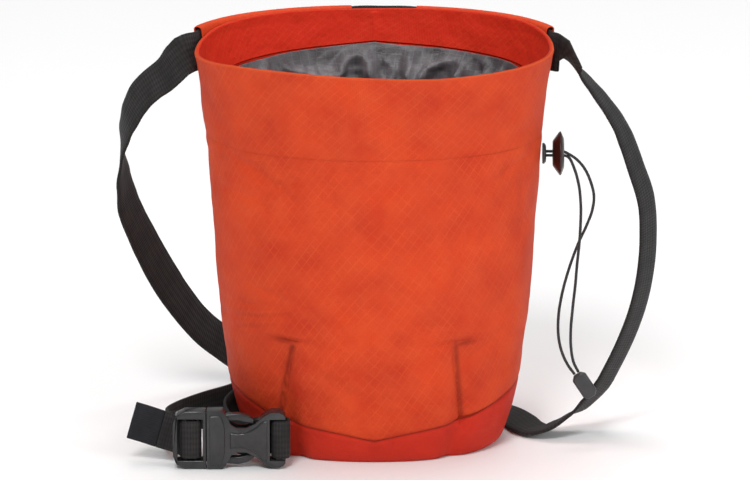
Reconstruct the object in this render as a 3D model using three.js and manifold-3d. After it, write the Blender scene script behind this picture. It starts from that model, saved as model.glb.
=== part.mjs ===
// A climbing chalk bag: a soft tapered pouch with an oval mouth, worn at the waist on a webbing belt.
// Millimetres, +Z up, +X to the right seen from the front, +Y towards the back.
// The origin is the middle of the flat bottom, on the surface that the bag stands on.

import * as THREE from 'three';
import Module from 'manifold-3d';
import { mergeVertices } from 'three/addons/utils/BufferGeometryUtils.js';

const wasm = await Module();
wasm.setup();

// Driving dimensions of the pouch
const bagHeight = 165;
const mouthWidth = 146;
const mouthDepth = 106;
const ovalPower = 2.15;
const shellWall = 1.8;
const facingWall = 2.6;
const facingDepth = 13;
const facingSideDepth = 19;
const linerWall = 1;
const floorWall = 2;
const seamGap = 0.3;
const dartDepth = 2.2;
const dartHalfWidth = 5;

// Driving dimensions of the belt and its buckle
const webWidth = 16;
const webThickness = 1.3;
const webClearance = 0.6;
const sleeveWall = 0.7;
const sleeveSlack = 0.9;
const railWidth = 3.4;
const railClearance = 0.8;
const buckleThickness = 6.9;
const plugFrameLength = 13.8;
const socketLength = 32;
const buckleWall = 1.35;
const prongThickness = 3.4;
const labelLength = 12.5;
const labelThickness = 1.6;

// Driving dimensions of the drawcord
const cordDiameter = 1.2;
const strandSpread = 1.7;
const eyeletRadius = 4.3;
const eyeletThickness = 1.5;
const eyeletStand = 0.8;
const lockRadius = 9;
const lockThickness = 4.6;
const pullLength = 11.5;
const pullWidth = 6.3;
const pullThickness = 3.6;

const halfMouthWidth = mouthWidth / 2;
const halfMouthDepth = mouthDepth / 2;
const columns = 60;

// Outline of the pouch: shares of its height, and of the mouth's half width and half depth there
const outline = [
  { height: 0.0, width: 0.69, depth: 0.68 },
  { height: 0.012, width: 0.722, depth: 0.712 },
  { height: 0.034, width: 0.742, depth: 0.735 },
  { height: 0.097, width: 0.786, depth: 0.775 },
  { height: 0.169, width: 0.822, depth: 0.815 },
  { height: 0.225, width: 0.84, depth: 0.845 },
  { height: 0.355, width: 0.873, depth: 0.9 },
  { height: 0.484, width: 0.899, depth: 0.93 },
  { height: 0.613, width: 0.92, depth: 0.945 },
  { height: 0.742, width: 0.933, depth: 0.955 },
  { height: 0.806, width: 0.944, depth: 0.963 },
  { height: 0.871, width: 0.963, depth: 0.972 },
  { height: 0.922, width: 0.976, depth: 0.983 },
  { height: 1.0, width: 1.0, depth: 1.0 },
];

// Rise of the mouth over its front middle: share of the turn from the right, and share of the height
const mouthRise = [
  { turn: 0, rise: 0.006 },
  { turn: 0.05, rise: 0.02 },
  { turn: 0.1, rise: 0.028 },
  { turn: 0.18, rise: 0.029 },
  { turn: 0.25, rise: 0.026 },
  { turn: 0.36, rise: 0.024 },
  { turn: 0.42, rise: 0.018 },
  { turn: 0.46, rise: 0.006 },
  { turn: 0.5, rise: -0.004 },
  { turn: 0.555, rise: 0.002 },
  { turn: 0.62, rise: 0.01 },
  { turn: 0.68, rise: 0.013 },
  { turn: 0.735, rise: 0.007 },
  { turn: 0.79, rise: 0.001 },
  { turn: 0.85, rise: 0.001 },
  { turn: 0.92, rise: 0.004 },
  { turn: 1, rise: 0.006 },
];

// Boot seam: height as a share of the bag's, against the share of the way from the front or back to the side
const bootSeam = [
  { turn: 0, height: 0.06 },
  { turn: 0.15, height: 0.078 },
  { turn: 0.4, height: 0.1 },
  { turn: 0.6, height: 0.128 },
  { turn: 0.8, height: 0.154 },
  { turn: 1, height: 0.17 },
];
const collarSeam = 0.795;

// Darts in the front: share of the way from side to front, and the heights where each starts and is full
const darts = [
  { side: 1, turn: 0.6, top: 0.32, full: 0.14 },
  { side: -1, turn: 0.6, top: 0.32, full: 0.14 },
];

// Gathers of the liner: share of the turn round the mouth, how far each fold stands in as a share of the
// mouth's half depth, its half width as a share of the turn, and the share of the height where it is deepest
const gathers = [
  { turn: 0.07, inward: 0.08, width: 0.03, height: 0.8 },
  { turn: 0.15, inward: 0.13, width: 0.035, height: 0.77 },
  { turn: 0.225, inward: 0.17, width: 0.04, height: 0.79 },
  { turn: 0.3, inward: 0.12, width: 0.03, height: 0.76 },
  { turn: 0.37, inward: 0.15, width: 0.04, height: 0.78 },
  { turn: 0.45, inward: 0.09, width: 0.03, height: 0.8 },
  { turn: 0.58, inward: 0.1, width: 0.04, height: 0.77 },
  { turn: 0.68, inward: 0.12, width: 0.035, height: 0.78 },
  { turn: 0.77, inward: 0.09, width: 0.04, height: 0.76 },
  { turn: 0.88, inward: 0.12, width: 0.035, height: 0.78 },
];
const gatherReach = 0.13;

// Where the belt runs: shares of the mouth's half width and half depth, of the bag's height, and of the
// webbing's width above the floor, with the direction of the webbing's width
const besideBag = [
  { across: -0.685, back: -0.632, up: 0, lift: 0.62, wx: 0, wy: 0, wz: -1 },
  { across: -0.788, back: -0.462, up: 0, lift: 0.54, wx: 0, wy: 0, wz: -1 },
  { across: -0.836, back: -0.226, up: 0, lift: 0.53, wx: 0, wy: 0, wz: -1 },
  { across: -0.84, back: 0, up: 0, lift: 0.53, wx: 0, wy: 0, wz: -1 },
  { across: -0.812, back: 0.16, up: 0, lift: 0.53, wx: 0, wy: 0, wz: -1 },
  { across: -0.772, back: 0.311, up: 0, lift: 0.53, wx: 0, wy: 0, wz: -1 },
  { across: -0.705, back: 0.434, up: 0, lift: 0.53, wx: 0, wy: 0, wz: -1 },
  { across: -0.584, back: 0.594, up: 0, lift: 0.53, wx: 0, wy: 0, wz: -1 },
  { across: -0.425, back: 0.721, up: 0, lift: 0.53, wx: 0, wy: 0, wz: -1 },
  { across: -0.22, back: 0.82, up: 0, lift: 0.54, wx: 0, wy: -0.15, wz: -1 },
  { across: 0.0, back: 0.9, up: 0, lift: 0.48, wx: 0, wy: -0.8, wz: -1 },
  { across: 0.2, back: 0.93, up: 0, lift: 0.28, wx: -0.1, wy: -1, wz: -0.35 },
  { across: 0.41, back: 0.875, up: 0, lift: 0.08, wx: -0.4, wy: -1, wz: 0 },
  { across: 0.6, back: 0.74, up: 0, lift: 0.06, wx: -0.7, wy: -0.8, wz: 0 },
  { across: 0.74, back: 0.57, up: 0, lift: 0.06, wx: -0.9, wy: -0.5, wz: 0 },
  { across: 0.82, back: 0.37, up: 0, lift: 0.06, wx: -1, wy: -0.3, wz: 0 },
  { across: 0.865, back: 0.18, up: 0, lift: 0.07, wx: -0.8, wy: -0.6, wz: 0 },
  { across: 0.93, back: 0.04, up: 0, lift: 0.12, wx: -0.4, wy: -1, wz: 0.03 },
  { across: 1.01, back: 0.0, up: 0, lift: 0.27, wx: -0.1, wy: -1, wz: 0.12 },
];
const rightArc = [
  { across: 1.1, back: 0.02, up: 0.05, lift: 0, wx: -0.03, wy: -0.97, wz: 0.25 },
  { across: 1.2, back: 0.049, up: 0.08, lift: 0, wx: -0.21, wy: -0.89, wz: 0.4 },
  { across: 1.295, back: 0.075, up: 0.127, lift: 0, wx: -0.36, wy: -0.86, wz: 0.37 },
  { across: 1.336, back: 0.079, up: 0.16, lift: 0, wx: -0.42, wy: -0.87, wz: 0.25 },
  { across: 1.429, back: 0.094, up: 0.248, lift: 0, wx: -0.44, wy: -0.87, wz: 0.21 },
  { across: 1.496, back: 0.1, up: 0.336, lift: 0, wx: -0.45, wy: -0.88, wz: 0.15 },
  { across: 1.534, back: 0.113, up: 0.426, lift: 0, wx: -0.45, wy: -0.89, wz: 0.09 },
  { across: 1.545, back: 0.121, up: 0.515, lift: 0, wx: -0.44, wy: -0.9, wz: 0.03 },
  { across: 1.53, back: 0.132, up: 0.604, lift: 0, wx: -0.41, wy: -0.91, wz: -0.04 },
  { across: 1.473, back: 0.142, up: 0.683, lift: 0, wx: -0.37, wy: -0.93, wz: -0.08 },
  { across: 1.421, back: 0.151, up: 0.749, lift: 0, wx: -0.35, wy: -0.94, wz: -0.06 },
  { across: 1.37, back: 0.17, up: 0.798, lift: 0, wx: -0.28, wy: -0.96, wz: -0.03 },
  { across: 1.281, back: 0.198, up: 0.855, lift: 0, wx: -0.22, wy: -0.98, wz: 0.01 },
  { across: 1.205, back: 0.223, up: 0.896, lift: 0, wx: -0.11, wy: -0.99, wz: 0.02 },
  { across: 1.126, back: 0.226, up: 0.937, lift: 0, wx: 0.05, wy: -1, wz: 0.07 },
  { across: 1.08, back: 0.17, up: 0.963, lift: 0, wx: 0.16, wy: -0.92, wz: 0.36 },
  { across: 1.045, back: 0.165, up: 0.974, lift: 0, wx: 0.3, wy: -0.35, wz: 0.9 },
];
const behindMouth = [0.08, 0.1, 0.1333, 0.2, 0.3, 0.4, 0.5, 0.6, 0.7, 0.8, 0.8667, 0.9, 0.92];
const behindMouthUp = 0.972;
const mouthFlare = 0.15;
const leftArc = [
  { across: -1.05, back: 0.16, up: 0.974, lift: 0, wx: -0.4, wy: 0.15, wz: 0.9 },
  { across: -1.095, back: 0.17, up: 0.958, lift: 0, wx: -0.59, wy: 0.55, wz: 0.59 },
  { across: -1.171, back: 0.226, up: 0.916, lift: 0, wx: -0.44, wy: 0.7, wz: 0.57 },
  { across: -1.249, back: 0.245, up: 0.888, lift: 0, wx: -0.38, wy: 0.74, wz: 0.56 },
  { across: -1.314, back: 0.264, up: 0.857, lift: 0, wx: -0.44, wy: 0.77, wz: 0.46 },
  { across: -1.364, back: 0.292, up: 0.815, lift: 0, wx: -0.4, wy: 0.84, wz: 0.37 },
  { across: -1.403, back: 0.33, up: 0.765, lift: 0, wx: -0.25, wy: 0.93, wz: 0.28 },
  { across: -1.425, back: 0.377, up: 0.7, lift: 0, wx: -0.01, wy: 0.97, wz: 0.24 },
  { across: -1.419, back: 0.434, up: 0.628, lift: 0, wx: 0.26, wy: 0.92, wz: 0.3 },
  { across: -1.396, back: 0.509, up: 0.557, lift: 0, wx: 0.43, wy: 0.82, wz: 0.38 },
  { across: -1.359, back: 0.566, up: 0.507, lift: 0, wx: 0.43, wy: 0.77, wz: 0.47 },
  { across: -1.299, back: 0.66, up: 0.438, lift: 0, wx: 0.48, wy: 0.71, wz: 0.52 },
  { across: -1.24, back: 0.755, up: 0.375, lift: 0, wx: 0.5, wy: 0.66, wz: 0.57 },
  { across: -1.181, back: 0.858, up: 0.318, lift: 0, wx: 0.48, wy: 0.63, wz: 0.61 },
  { across: -1.123, back: 0.962, up: 0.267, lift: 0, wx: 0.4, wy: 0.64, wz: 0.66 },
  { across: -1.007, back: 1.151, up: 0.181, lift: 0, wx: 0.26, wy: 0.6, wz: 0.75 },
  { across: -0.904, back: 1.292, up: 0.127, lift: 0, wx: 0.1, wy: 0.5, wz: 0.85 },
  { across: -0.78, back: 1.43, up: 0.08, lift: 0, wx: 0, wy: 0.25, wz: 1 },
  { across: -0.6, back: 1.54, up: 0, lift: 0.57, wx: 0, wy: 0, wz: 1 },
  { across: -0.4, back: 1.57, up: 0, lift: 0.53, wx: 0, wy: 0, wz: 1 },
  { across: -0.24, back: 1.49, up: 0, lift: 0.53, wx: 0, wy: 0, wz: 1 },
  { across: -0.17, back: 1.32, up: 0, lift: 0.53, wx: 0, wy: 0, wz: 1 },
  { across: -0.24, back: 1.12, up: 0, lift: 0.53, wx: 0, wy: 0, wz: 1 },
  { across: -0.44, back: 0.85, up: 0, lift: 0.53, wx: 0, wy: 0, wz: 1 },
  { across: -0.63, back: 0.67, up: 0, lift: 0.53, wx: 0, wy: 0, wz: 1 },
  { across: -0.755, back: 0.487, up: 0, lift: 0.53, wx: 0, wy: 0, wz: 1 },
  { across: -0.83, back: 0.345, up: 0, lift: 0.53, wx: 0, wy: 0, wz: 1 },
  { across: -0.973, back: 0.138, up: 0, lift: 0.54, wx: 0, wy: 0, wz: 1 },
  { across: -1.105, back: -0.113, up: 0, lift: 0.56, wx: 0, wy: 0, wz: 1 },
  { across: -1.165, back: -0.33, up: 0, lift: 0.6, wx: 0, wy: 0, wz: 1 },
  { across: -1.145, back: -0.48, up: 0, lift: 0.65, wx: 0, wy: 0, wz: 1 },
];

// Belt sleeves behind the rim: the column of the mouth, from the right side, where each starts and ends
const sleeves = {
  belt_sleeve_right: { from: 3, to: 13 },
  belt_sleeve_left: { from: 16, to: 27 },
};

// The buckle stands on its long edge in front of the bag; across and back are shares as above
const bucklePlace = { across: -0.932, back: -0.793 };

// The drawcord's eyelet, and the strands' routes past the lock as chosen points:
// right of the lock, towards the back, and above the lock's middle
const eyeletHeight = 0.733;
const lockGap = 2.7;
const farStrand = [
  [2.5, 0, -0.6], [5.6, -0.3, -2.8], [8.6, -0.7, -6.4], [11.0, -1.2, -11.6], [12.4, -1.7, -17.4],
  [11.8, -2.2, -23.4], [9.4, -2.9, -30], [6.4, -3.6, -36.6], [3.9, -4.5, -43], [1.6, -5.6, -50],
  [-0.5, -6.9, -58], [-1.9, -7.5, -67.5], [-1.8, -8.0, -76], [-0.3, -8.4, -82.6], [2.0, -8.8, -87.6],
  [4.9, -9, -91.7],
];
const nearStrand = [
  [1.9, 0, -1.6], [4.3, -0.9, -6.2], [6.2, -2.4, -13], [7.0, -4.0, -21], [6.9, -5.3, -29],
  [6.4, -6.5, -37], [5.6, -7.2, -45], [4.9, -7.8, -54], [3.9, -8.3, -63.5], [3.2, -8.7, -72.5],
  [3.3, -8.9, -80], [4.4, -9, -86.4], [6.45, -9, -90.7],
];
const pullTop = [5.9, -9, -91.6];
const pullTilt = 33;

const orange = new THREE.MeshStandardMaterial({ color: 0xd2462a, roughness: 0.75, metalness: 0 });
const red = new THREE.MeshStandardMaterial({ color: 0xc9311f, roughness: 0.7, metalness: 0 });
const grey = new THREE.MeshStandardMaterial({ color: 0x5d5a60, roughness: 0.6, metalness: 0 });
const webBlack = new THREE.MeshStandardMaterial({ color: 0x2b2a2b, roughness: 0.85, metalness: 0 });
const labelBlack = new THREE.MeshStandardMaterial({ color: 0x1d1e22, roughness: 0.8, metalness: 0 });
const mouldedBlack = new THREE.MeshStandardMaterial({ color: 0x37383a, roughness: 0.4, metalness: 0 });
const cordBlack = new THREE.MeshStandardMaterial({ color: 0x18181a, roughness: 0.8, metalness: 0 });

// A smooth value from a table: key is the column to look up, column the one to read
function fromTable(rows, key, column, at) {
  const last = rows.length - 1;
  if (at <= rows[0][key]) return rows[0][column];
  if (at >= rows[last][key]) return rows[last][column];
  const next = rows.findIndex((row) => row[key] > at);
  const [a, b] = [rows[next - 1], rows[next]];
  const [before, after] = [rows[Math.max(next - 2, 0)], rows[Math.min(next + 1, last)]];
  const span = b[key] - a[key];
  const t = (at - a[key]) / span;
  const slopeIn = ((b[column] - before[column]) / (b[key] - before[key])) * span;
  const slopeOut = ((after[column] - a[column]) / (after[key] - a[key])) * span;
  const smooth = t * t * (3 - 2 * t);
  const bendIn = t * (1 - t) * (1 - t);
  const bendOut = t * t * (t - 1);
  return a[column] + (b[column] - a[column]) * smooth + slopeIn * bendIn + slopeOut * bendOut;
}

function bell(distance, halfWidth) {
  return Math.exp(-((distance / halfWidth) ** 2));
}

const turnOf = (column) => (column / columns) * 2 * Math.PI;

// Share of the way from the front or back middle round to the side
const sideShare = (angle) => 1 - Math.asin(Math.min(1, Math.abs(Math.sin(angle)))) / (Math.PI / 2);

const bootTop = (angle) => fromTable(bootSeam, 'turn', 'height', sideShare(angle)) * bagHeight;
const collarFoot = collarSeam * bagHeight;
const turnShare = (angle) => ((angle / (2 * Math.PI)) % 1 + 1) % 1;
const mouthTop = (angle) => bagHeight * (1 + fromTable(mouthRise, 'turn', 'rise', turnShare(angle)));

// How far the facing reaches down from the rim: least at the front and back, most at the sides
const facingReach = (angle) => THREE.MathUtils.lerp(facingDepth, facingSideDepth, sideShare(angle) ** 0.7);

function dartInset(angle, height) {
  return darts.reduce((sum, dart) => {
    const dartAngle = -dart.turn * (Math.PI / 2);
    const middle = dart.side > 0 ? dartAngle : -Math.PI - dartAngle;
    const away = Math.atan2(Math.sin(angle - middle), Math.cos(angle - middle)) * halfMouthDepth;
    const share = (dart.top - height / bagHeight) / (dart.top - dart.full);
    return sum + dartDepth * THREE.MathUtils.clamp(share, 0, 1) * bell(away, dartHalfWidth);
  }, 0);
}

// A point of the pouch's outer surface at that angle and height, moved inwards by inset
function bagPoint(angle, height, inset = 0) {
  const share = THREE.MathUtils.clamp(height / bagHeight, 0, 1);
  const inward = inset + dartInset(angle, height);
  const halfWidth = halfMouthWidth * fromTable(outline, 'height', 'width', share) - inward;
  const halfDepth = halfMouthDepth * fromTable(outline, 'height', 'depth', share) - inward;
  const rounded = (value) => Math.sign(value) * Math.abs(value) ** (2 / ovalPower);
  const [across, back] = [halfWidth * rounded(Math.cos(angle)), halfDepth * rounded(Math.sin(angle))];
  return new THREE.Vector3(across, back, height);
}

function ring(pointAt) {
  return Array.from({ length: columns }, (_, column) => pointAt(turnOf(column)));
}

// A closed solid skinned over rings of points; single points at either end are poles
function skin(rings, joined) {
  const positions = [];
  const starts = rings.map((points) => {
    const start = positions.length / 3;
    points.forEach((point) => positions.push(point.x, point.y, point.z));
    return start;
  });
  const indices = [];
  const band = (a, b) => {
    const [countA, countB] = [rings[a].length, rings[b].length];
    const count = Math.max(countA, countB);
    for (let i = 0; i < count; i += 1) {
      const next = (i + 1) % count;
      const [a0, a1] = [starts[a] + (i % countA), starts[a] + (next % countA)];
      const [b0, b1] = [starts[b] + (i % countB), starts[b] + (next % countB)];
      if (countA > 1) indices.push(a0, a1, b1);
      if (countB > 1) indices.push(a0, b1, b0);
    }
  };
  for (let i = 0; i + 1 < rings.length; i += 1) band(i, i + 1);
  if (joined) band(rings.length - 1, 0);
  return facingOut(positions, indices);
}

// An indexed geometry whose faces point out, whichever way its rings ran
function facingOut(positions, indices) {
  const corner = (i) => new THREE.Vector3().fromArray(positions, indices[i] * 3);
  let volume = 0;
  for (let i = 0; i < indices.length; i += 3) {
    volume += corner(i).dot(corner(i + 1).cross(corner(i + 2)));
  }
  if (volume < 0) indices.reverse();
  const geometry = new THREE.BufferGeometry();
  geometry.setAttribute('position', new THREE.Float32BufferAttribute(positions, 3));
  geometry.setIndex(indices);
  geometry.computeVertexNormals();
  return geometry;
}

function toSolid(geometry) {
  const bare = geometry.clone();
  bare.deleteAttribute('normal');
  bare.deleteAttribute('uv');
  const merged = mergeVertices(bare, 1e-4);
  return new wasm.Manifold(new wasm.Mesh({
    numProp: 3,
    vertProperties: new Float32Array(merged.attributes.position.array),
    triVerts: new Uint32Array(merged.index.array),
  }));
}

function toGeometry(solid) {
  const mesh = solid.getMesh();
  const geometry = new THREE.BufferGeometry();
  geometry.setAttribute('position', new THREE.BufferAttribute(new Float32Array(mesh.vertProperties), 3));
  geometry.setIndex(new THREE.BufferAttribute(new Uint32Array(mesh.triVerts), 1));
  geometry.computeVertexNormals();
  return geometry;
}

function named(name, geometry, material) {
  const mesh = new THREE.Mesh(geometry, material);
  mesh.name = name;
  return mesh;
}

// The collar's wall: up its outside, over the folded rim, down the facing and back under the thinner band
function collarGeometry() {
  const level = (angle, share) => THREE.MathUtils.lerp(collarFoot + seamGap / 2, mouthTop(angle), share);
  const wallAt = (share, inset, drop = 0) => ring((angle) => {
    const height = level(angle, share) - drop;
    const point = bagPoint(angle, Math.min(height, bagHeight), inset);
    point.z = height;
    return point;
  });
  const facingEdge = (inset, below) => ring((angle) => {
    const height = mouthTop(angle) - facingReach(angle) - below;
    const point = bagPoint(angle, height, inset);
    point.z = height;
    return point;
  });
  return skin([
    ...[0, 0.35, 0.7].map((share) => wallAt(share, 0)),
    wallAt(1, 0, facingWall / 2),
    wallAt(1, facingWall / 2),
    wallAt(1, facingWall, facingWall / 2),
    facingEdge(facingWall, 0),
    facingEdge(shellWall, 0.7),
    wallAt(0, shellWall),
  ], true);
}

function bodyGeometry() {
  const top = collarFoot - seamGap / 2;
  const level = (angle, share) => THREE.MathUtils.lerp(bootTop(angle) + seamGap, top, share);
  const wallAt = (share, inset) => ring((angle) => bagPoint(angle, level(angle, share), inset));
  const outer = [0, 0.1, 0.22, 0.36, 0.55, 0.78, 1].map((share) => wallAt(share, 0));
  const inner = [1, 0.6, 0.3, 0.12, 0].map((share) => wallAt(share, shellWall));
  return skin([...outer, ...inner], true);
}

function bootGeometry() {
  const level = (angle, share) => THREE.MathUtils.lerp(outline[2].height * bagHeight, bootTop(angle), share);
  const wallAt = (share, inset) => ring((angle) => bagPoint(angle, level(angle, share), inset));
  const low = (row, inset) => ring((angle) => bagPoint(angle, outline[row].height * bagHeight, inset));
  const innerFloor = ring((angle) => bagPoint(angle, floorWall, shellWall + 1));
  return skin([
    [new THREE.Vector3(0, 0, 0)],
    low(0, 0),
    low(1, 0),
    ...[0, 0.35, 0.7, 1].map((share) => wallAt(share, 0)),
    ...[1, 0.5, 0].map((share) => wallAt(share, shellWall)),
    innerFloor,
    [new THREE.Vector3(0, 0, floorWall)],
  ], false);
}

// How far the liner's gathers stand in from the wall at that angle and height
function gatherInset(angle, height) {
  const turn = ((angle / (2 * Math.PI)) % 1 + 1) % 1;
  return gathers.reduce((sum, fold) => {
    const away = Math.abs(turn - fold.turn);
    const round = bell(Math.min(away, 1 - away), fold.width);
    return sum + fold.inward * halfMouthDepth * round * bell(height / bagHeight - fold.height, gatherReach);
  }, 0);
}

function linerGeometry() {
  const top = (angle) => mouthTop(angle) - facingReach(angle) - 0.7 - seamGap;
  const outside = shellWall + 2 * seamGap;
  const bottom = floorWall + seamGap + linerWall;
  const levels = [1, 0.965, 0.92, 0.87, 0.8, 0.7, 0.55, 0.35, 0.14, 0.04];
  const wallAt = (share, thickness) => ring((angle) => {
    const height = top(angle) * share;
    const point = bagPoint(angle, height, outside + seamGap + gatherInset(angle, height) + thickness);
    point.z = height;
    return point;
  });
  const outer = levels.map((share) => wallAt(share, 0));
  const inner = levels.map((share) => wallAt(share, linerWall));
  const floorInset = outside + linerWall + 1;
  return skin([
    [new THREE.Vector3(0, 0, bottom - linerWall)],
    ring((angle) => bagPoint(angle, bottom - linerWall, floorInset)),
    ...outer.reverse(),
    ...inner,
    ring((angle) => bagPoint(angle, bottom, floorInset + linerWall)),
    [new THREE.Vector3(0, 0, bottom)],
  ], false);
}

// Shares of a curve's length where a swept strap needs a ring: close together where it bends or twists
function ringShares(curve, acrossAt, furthest, bend) {
  const steps = Math.ceil(curve.getLength() / 0.5);
  const shares = [0];
  let [ahead, across] = [curve.getTangentAt(0), acrossAt(0)];
  for (let step = 1; step < steps; step += 1) {
    const share = step / steps;
    const [tangent, width] = [curve.getTangentAt(share), acrossAt(share)];
    const run = (share - shares[shares.length - 1]) * curve.getLength();
    const turn = Math.max(ahead.angleTo(tangent), across.angleTo(width));
    if (run > furthest || turn > bend) {
      shares.push(share);
      [ahead, across] = [tangent, width];
    }
  }
  return [...shares, 1];
}

// A flat strap swept along a smooth curve through rows of a point and the direction of its width
function strapGeometry(rows, width, thickness, furthest) {
  const curve = new THREE.CatmullRomCurve3(rows.map((row) => row.point), false, 'centripetal');
  curve.arcLengthDivisions = rows.length * 40;
  const lengths = curve.getLengths();
  const shareAt = (index) => lengths[index * 40 * rows.length / (rows.length - 1) | 0] / curve.getLength();
  const marks = rows.map((row, index) => ({ at: shareAt(index), along: row.along }));
  marks[marks.length - 1].at = 1;
  const acrossAt = (share) => {
    const next = Math.max(1, marks.findIndex((mark) => mark.at >= share - 1e-9));
    const [a, b] = [marks[next - 1], marks[next]];
    const t = THREE.MathUtils.clamp((share - a.at) / (b.at - a.at), 0, 1);
    const across = a.along.clone().lerp(b.along, t * t * (3 - 2 * t));
    const ahead = curve.getTangentAt(share);
    return across.addScaledVector(ahead, -across.dot(ahead)).normalize();
  };
  const rings = ringShares(curve, acrossAt, furthest, THREE.MathUtils.degToRad(11)).map((share) => {
    const across = acrossAt(share).multiplyScalar(width / 2);
    const through = across.clone().cross(curve.getTangentAt(share)).setLength(thickness / 2);
    return [[1, 1], [-1, 1], [-1, -1], [1, -1]].map(([side, face]) => (
      curve.getPointAt(share).addScaledVector(across, side).addScaledVector(through, face)
    ));
  });
  const centre = (points) => points.reduce((sum, point) => sum.add(point), new THREE.Vector3())
    .divideScalar(points.length);
  return skin([[centre(rings[0])], ...rings, [centre(rings[rings.length - 1])]], false);
}

const beltRow = (row) => ({
  point: new THREE.Vector3(
    row.across * halfMouthWidth,
    row.back * halfMouthDepth,
    row.up * bagHeight + row.lift * webWidth,
  ),
  along: new THREE.Vector3(row.wx, row.wy, row.wz).normalize(),
});

const sleeveInside = seamGap + sleeveWall + webClearance;

// A point off the wall behind the mouth: share of the half turn, how far off, and above the belt's middle
function besideWall(share, off, above) {
  const height = behindMouthUp * bagHeight + above;
  const flare = Math.max(0, height - bagHeight) * mouthFlare;
  const point = bagPoint(share * Math.PI, Math.min(height, bagHeight), -off - flare);
  point.z = height;
  return point;
}

// A belt row inside the sleeves, that share of the half turn round the back
const behindMouthRow = (share) => {
  const [low, point, high] = [-1, 0, 1].map((side) => (
    besideWall(share, sleeveInside + webThickness / 2, (side * webWidth) / 2)
  ));
  return { point, along: high.sub(low).normalize() };
};

const buckleWidth = webWidth + 2 * (railWidth + railClearance);
const buckleCentre = new THREE.Vector3(
  bucklePlace.across * halfMouthWidth,
  bucklePlace.back * halfMouthDepth,
  buckleWidth / 2,
);
const windowWidth = webWidth + 2 * railClearance;
const halfBuckle = buckleThickness / 2;
const slotWidth = webThickness + 1.3;
const barWidth = 4.4;
const endBarWidth = 3.4;
const frontBarFace = halfBuckle - webThickness - 0.55;
const plugSlot = -slotWidth / 2 - 1.6;
const plugFarSlot = plugSlot - slotWidth - barWidth - 0.8;
const socketSlot = socketLength - endBarWidth - slotWidth / 2 - 0.4;

// A belt row in the buckle's own frame: along it from the mouth of the socket, back from its middle, and up
const buckleRow = (along, back, up = 0, lean = 0) => ({
  point: new THREE.Vector3(along, back, up).add(buckleCentre),
  along: new THREE.Vector3(lean, 0, 1).normalize(),
});

const socketEndRows = () => {
  const front = -frontBarFace - webThickness / 2 - 0.35;
  const right = socketLength + webThickness;
  return [
    buckleRow(socketSlot, 1.4),
    buckleRow(socketSlot, front + 2.1),
    buckleRow(socketSlot + 0.3, front + 0.7),
    buckleRow(socketSlot + 1.3, front),
    buckleRow(socketLength - 1.9, front - 0.1),
    buckleRow(socketLength + 0.1, front - 0.1),
    buckleRow(right - 0.2, front + 0.9),
    buckleRow(right, front + 2.9),
    buckleRow(right - 0.8, halfBuckle - 0.5),
    buckleRow(right - 3.6, halfBuckle + webThickness),
    buckleRow(right - 7.5, halfBuckle + webThickness + 0.5),
  ];
};

const plugEndRows = () => {
  const front = -frontBarFace - webThickness / 2 - 0.35;
  return [
    buckleRow(plugSlot - 7.5, halfBuckle + 7.3),
    buckleRow(plugSlot - 3.2, halfBuckle + 3.2),
    buckleRow(plugSlot - 0.5, halfBuckle),
    buckleRow(plugSlot, 0.2),
    buckleRow(plugSlot - 0.1, front + 1.1),
    buckleRow(plugSlot - 1, front + 0.1),
    buckleRow(plugSlot - 2.9, front - 0.1),
    buckleRow(plugFarSlot + 2.3, front - 0.1),
    buckleRow(plugFarSlot + 0.9, front + 0.5),
    buckleRow(plugFarSlot + 0.3, -0.9),
    buckleRow(plugFarSlot + 0.2, 0.8),
    buckleRow(plugFarSlot - 1.1, halfBuckle - 0.4, 0.1),
    buckleRow(plugFarSlot - 3.3, halfBuckle + webThickness, 0.6, 0.1),
    buckleRow(plugFarSlot - 5.8, halfBuckle + webThickness + 0.7, 1.3, 0.22),
    buckleRow(plugFarSlot - 8.3, halfBuckle + webThickness + 1.1, 2, 0.25),
  ];
};

function beltGeometry() {
  const rows = [
    ...socketEndRows().map(({ point, along }) => ({ point, along: along.negate() })),
    ...besideBag.map(beltRow),
    ...rightArc.map(beltRow),
    ...behindMouth.map(behindMouthRow),
    ...leftArc.map(beltRow),
  ];
  return strapGeometry([...rows, ...plugEndRows()], webWidth, webThickness, 7);
}

// The tab that closes the belt's tail, in line with it
function labelGeometry() {
  const rows = plugEndRows().slice(-2);
  const heading = rows[1].point.clone().sub(rows[0].point).normalize();
  const start = rows[1].point.clone().addScaledVector(heading, seamGap);
  const end = start.clone().addScaledVector(heading, labelLength);
  const middle = start.clone().lerp(end, 0.5).add(new THREE.Vector3(0, 0.3, 0));
  const along = rows[1].along;
  return strapGeometry([start, middle, end].map((point) => ({ point, along })), webWidth, labelThickness, 4);
}

// A belt sleeve: a flat tunnel of cloth that follows the collar round the back, open at both ends
function sleeveGeometry({ from, to }) {
  const shares = Array.from({ length: to - from + 1 }, (_, step) => (2 * (from + step)) / columns);
  const outside = sleeveInside + webThickness + webClearance + sleeveWall;
  const section = (share, near, far, half) => [[far, half], [near, half], [near, -half], [far, -half]]
    .map(([off, above]) => besideWall(share, off, above));
  const halfInside = webWidth / 2 + sleeveSlack;
  const outer = shares.map((share) => section(share, seamGap, outside, halfInside + sleeveWall));
  const [innerNear, innerFar] = [seamGap + sleeveWall, outside - sleeveWall];
  const inner = shares.map((share) => section(share, innerNear, innerFar, halfInside));
  return skin([...outer, ...inner.reverse()], true);
}

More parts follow.
